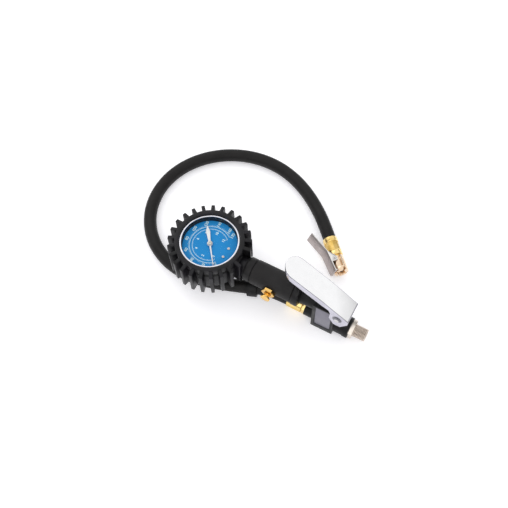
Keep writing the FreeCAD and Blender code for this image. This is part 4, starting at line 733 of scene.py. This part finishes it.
def printed_arc(radius, width, full):
    """A thin arc, spun from a small block."""
    bpy.ops.mesh.primitive_cube_add(size=1, location=on_dial(radius, scale_zero))
    start = bpy.context.object
    start.scale = (width, 0.02 * MM, print_height)
    start.rotation_euler.z = math.radians(scale_zero)
    arc = settle(start, "scale_arc")
    outward = Vector((math.cos(math.radians(scale_zero)), math.sin(math.radians(scale_zero)), 0))
    ahead = Vector((outward.y, -outward.x, 0))
    pick_faces(arc, lambda place, normal: normal.dot(ahead) > 0.9)
    bpy.ops.mesh.spin(steps=120, angle=math.radians(scale_sweep * full), dupli=False,
                      center=(gauge_x, 0, dial_top), axis=(0, 0, -1))
    bpy.ops.mesh.select_all(action="SELECT")
    bpy.ops.mesh.normals_make_consistent(inside=False)
    bpy.ops.object.mode_set(mode="OBJECT")
    return arc


def tick(radius, length, width, angle):
    """One short line that points away from the dial's centre."""
    bpy.ops.mesh.primitive_cube_add(size=1, location=on_dial(radius + length / 2, angle))
    mark = bpy.context.object
    mark.scale = (length, width, print_height)
    mark.rotation_euler.z = math.radians(angle)
    return settle(mark, "scale_tick")


def printed_number(text, radius, angle, size):
    """One number, upright as the tool is held."""
    bpy.ops.object.text_add(location=on_dial(radius, angle),
                            rotation=(0, 0, math.radians(90)))
    number = bpy.context.object
    number.data.body = text
    number.data.size = size
    number.data.align_x = "CENTER"
    number.data.align_y = "CENTER"
    number.data.extrude = print_height / 2
    number.data.offset = 0.00009
    number.data.resolution_u = 4
    only(number)
    bpy.ops.object.convert(target="MESH")
    return settle(bpy.context.object, "scale_number")


def angle_of(value, full):
    """Where a value stands on a scale."""
    return scale_zero + scale_sweep * value / full


marks = [printed_arc(outer_arc, 0.38 * MM, outer_end / outer_full),
         printed_arc(inner_arc, 0.32 * MM, 1)]
for step in range(0, 69):
    length = 2.1 if step % 8 == 0 else 1.8 if step % 4 == 0 else 1.4
    marks.append(tick(outer_arc, length * MM, 0.34 * MM, angle_of(outer_step * step, outer_full)))
for step in range(0, 61):
    length = 1.5 if step % 10 == 0 else 1.2 if step % 5 == 0 else 0.8
    marks.append(tick(inner_arc - length * MM, length * MM, 0.26 * MM,
                      angle_of(step / 5, inner_full)))
for value in [*range(0, 161, 20), outer_end]:
    marks.append(printed_number(str(value), outer_numbers, angle_of(value, outer_full), 4.3 * MM))
for value in range(0, 13, 2):
    marks.append(printed_number(str(value), inner_numbers, angle_of(value, inner_full), 3.7 * MM))
only(marks[0])
for mark in marks:
    mark.select_set(True)
bpy.ops.object.join()
scale_print = settle(bpy.context.object, "dial_scale")
give(scale_print, print_white)
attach(scale_print, body_of["dial_plate"])
print("marks on the dial:", len(marks))

# %% [markdown]
# ## Hose
# The hose is a free cord: a real length of rubber on one smooth line. It leaves its ferrule
# under the grip, passes its clip, lies round behind the gauge and comes back to the chuck. A
# NURBS curve through a listed row of points bends as evenly as a hose does, and a round
# section is swept along it.

# %% Hose
hose_route = [
    (0.02308, 0.0, 0.0110), (0.0, 0.0, 0.0110), (-0.0214, -0.0081, 0.0096),
    (-0.0433, -0.0156, 0.0083), (-0.0655, -0.0219, 0.0073), (-0.0884, -0.0243, 0.0070),
    (-0.1112, -0.0211, 0.0070), (-0.1322, -0.0115, 0.0070), (-0.1495, 0.0036, 0.0070),
    (-0.1619, 0.0230, 0.0070), (-0.1683, 0.0451, 0.0070), (-0.1682, 0.0682, 0.0070),
    (-0.1616, 0.0903, 0.0070), (-0.1493, 0.1097, 0.0070), (-0.1325, 0.1254, 0.0070),
    (-0.1123, 0.1366, 0.0070), (-0.0901, 0.1427, 0.0070), (-0.0671, 0.1433, 0.0070),
    (-0.0446, 0.1384, 0.0070), (-0.0236, 0.1288, 0.0070), (-0.0046, 0.1159, 0.0073),
    (0.0128, 0.1008, 0.0079), (0.0286, 0.0840, 0.0079),
]
hose_radius = 0.0070
hose_line = bpy.data.curves.new("hose_line", "CURVE")
hose_line.dimensions = "3D"
spline = hose_line.splines.new("NURBS")
spline.points.add(len(hose_route) - 1)
for point, place in zip(spline.points, hose_route):
    point.co = (*place, 1)
spline.order_u = 3
spline.use_endpoint_u = True
spline.resolution_u = 10
hose_line.bevel_depth = hose_radius
hose_line.bevel_resolution = 8
hose_line.use_fill_caps = True
hose = bpy.data.objects.new("rubber_hose", hose_line)
bpy.context.collection.objects.link(hose)
dress(hose, "air_hose", hose_rubber)
print("points on the hose's route:", len(hose_route))

# %% [markdown]
# ## Crimped ferrule at the chuck
# The yellow brass sleeve that holds the hose to the chuck is a turned tube: a plain lip, a
# groove, a faceted middle where the crimping jaws closed, and a narrower shoulder. It is grown
# from a circle ring by ring along the hose's end, and the facets are cut by an eight-sided bar.
# The flats are painted a darker, slightly duller brass than the ridges between them; the darkness
# is a painted dark reflection.

# %% Crimped ferrule at the chuck
hose_end = Vector(hose_route[-1])
chuck_axis = (hose_end - Vector(hose_route[-2])).normalized()
chuck_turn = chuck_axis.to_track_quat("Z", "Y")


def along_chuck(distance):
    """A point on the chuck's axis, by its distance from the end of the hose."""
    return hose_end + chuck_axis * distance


def turned_on_chuck(name, rings):
    """A solid grown ring by ring; each ring is a distance along the chuck and a radius."""
    start, radius = rings[0]
    bpy.ops.mesh.primitive_circle_add(vertices=64, radius=radius, fill_type="NGON",
                                      location=along_chuck(start),
                                      rotation=chuck_turn.to_euler())
    piece = settle(bpy.context.object, name)
    only(piece)
    bpy.ops.object.mode_set(mode="EDIT")
    bpy.ops.mesh.select_all(action="SELECT")
    for distance, next_radius in rings[1:]:
        step = chuck_axis * (distance - start)
        bpy.ops.mesh.extrude_region_move(TRANSFORM_OT_translate={"value": tuple(step)})
        ratio = next_radius / radius
        bpy.ops.transform.resize(value=(ratio, ratio, ratio),
                                 center_override=tuple(along_chuck(distance)))
        start, radius = distance, next_radius
    bpy.ops.mesh.select_all(action="SELECT")
    bpy.ops.mesh.normals_make_consistent(inside=False)
    bpy.ops.object.mode_set(mode="OBJECT")
    return piece


def cut_facets(piece, start, end, across):
    """Cut eight flats round a stretch of a turned piece."""
    flats = 8
    bpy.ops.mesh.primitive_cylinder_add(vertices=flats, radius=2 * across, depth=end - start,
                                        location=along_chuck((start + end) / 2),
                                        rotation=chuck_turn.to_euler())
    ring = settle(bpy.context.object, "facet_ring")
    bpy.ops.mesh.primitive_cylinder_add(vertices=flats, depth=2 * (end - start),
                                        radius=across / 2 / math.cos(math.pi / flats),
                                        location=along_chuck((start + end) / 2),
                                        rotation=chuck_turn.to_euler())
    bar = settle(bpy.context.object, "facet_bar")
    for target, tool in ((ring, bar), (piece, ring)):
        only(target)
        boolean = target.modifiers.new("facets", "BOOLEAN")
        boolean.operation = "DIFFERENCE"
        boolean.object = tool
        bpy.ops.object.modifier_apply(modifier=boolean.name)
    bpy.data.objects.remove(ring)
    bpy.data.objects.remove(bar)


sleeve, lip, groove, waist = 0.0078, 0.0076, 0.0074, 0.0072
crimp_start, crimp_end, crimp_across = 0.0058, 0.0160, 0.0143
ferrule = turned_on_chuck("crimped_ferrule", [
    (0.0, lip), (0.0004, sleeve), (0.0040, sleeve), (0.0043, groove), (0.0051, groove),
    (0.0054, sleeve), (0.0164, sleeve), (0.0167, waist), (0.0175, waist), (0.0178, sleeve),
    (0.0216, sleeve), (0.0220, groove)])
cut_facets(ferrule, crimp_start, crimp_end, crimp_across)
round_edges(ferrule, 0.15 * MM, 2, 20)
dress(ferrule, "chuck_ferrule", ferrule_brass)
ferrule.data.materials.append(crimp_flat_painted_reflection)
flat_area = 20 * MM * MM
# Large sideways faces on the flats get the painted dark reflection.
for face in ferrule.data.polygons:
    sideways = abs(face.normal.dot(chuck_axis)) < 0.1
    face.material_index = int(sideways and face.area > flat_area)
print("flats on the ferrule:", sum(face.material_index for face in ferrule.data.polygons))

on_the_hose = [ferrule, finished["chuck_body"], finished["chuck_nipple"],
               finished["chuck_clip"], finished["chuck_clip_pin"]]
on_the_hose += [frame["nodes"][node] for node in ("chuck_seal", "chuck_pin",
                                                  "chuck_clip_spring")]
print("pieces that go with the hose:", len(on_the_hose))
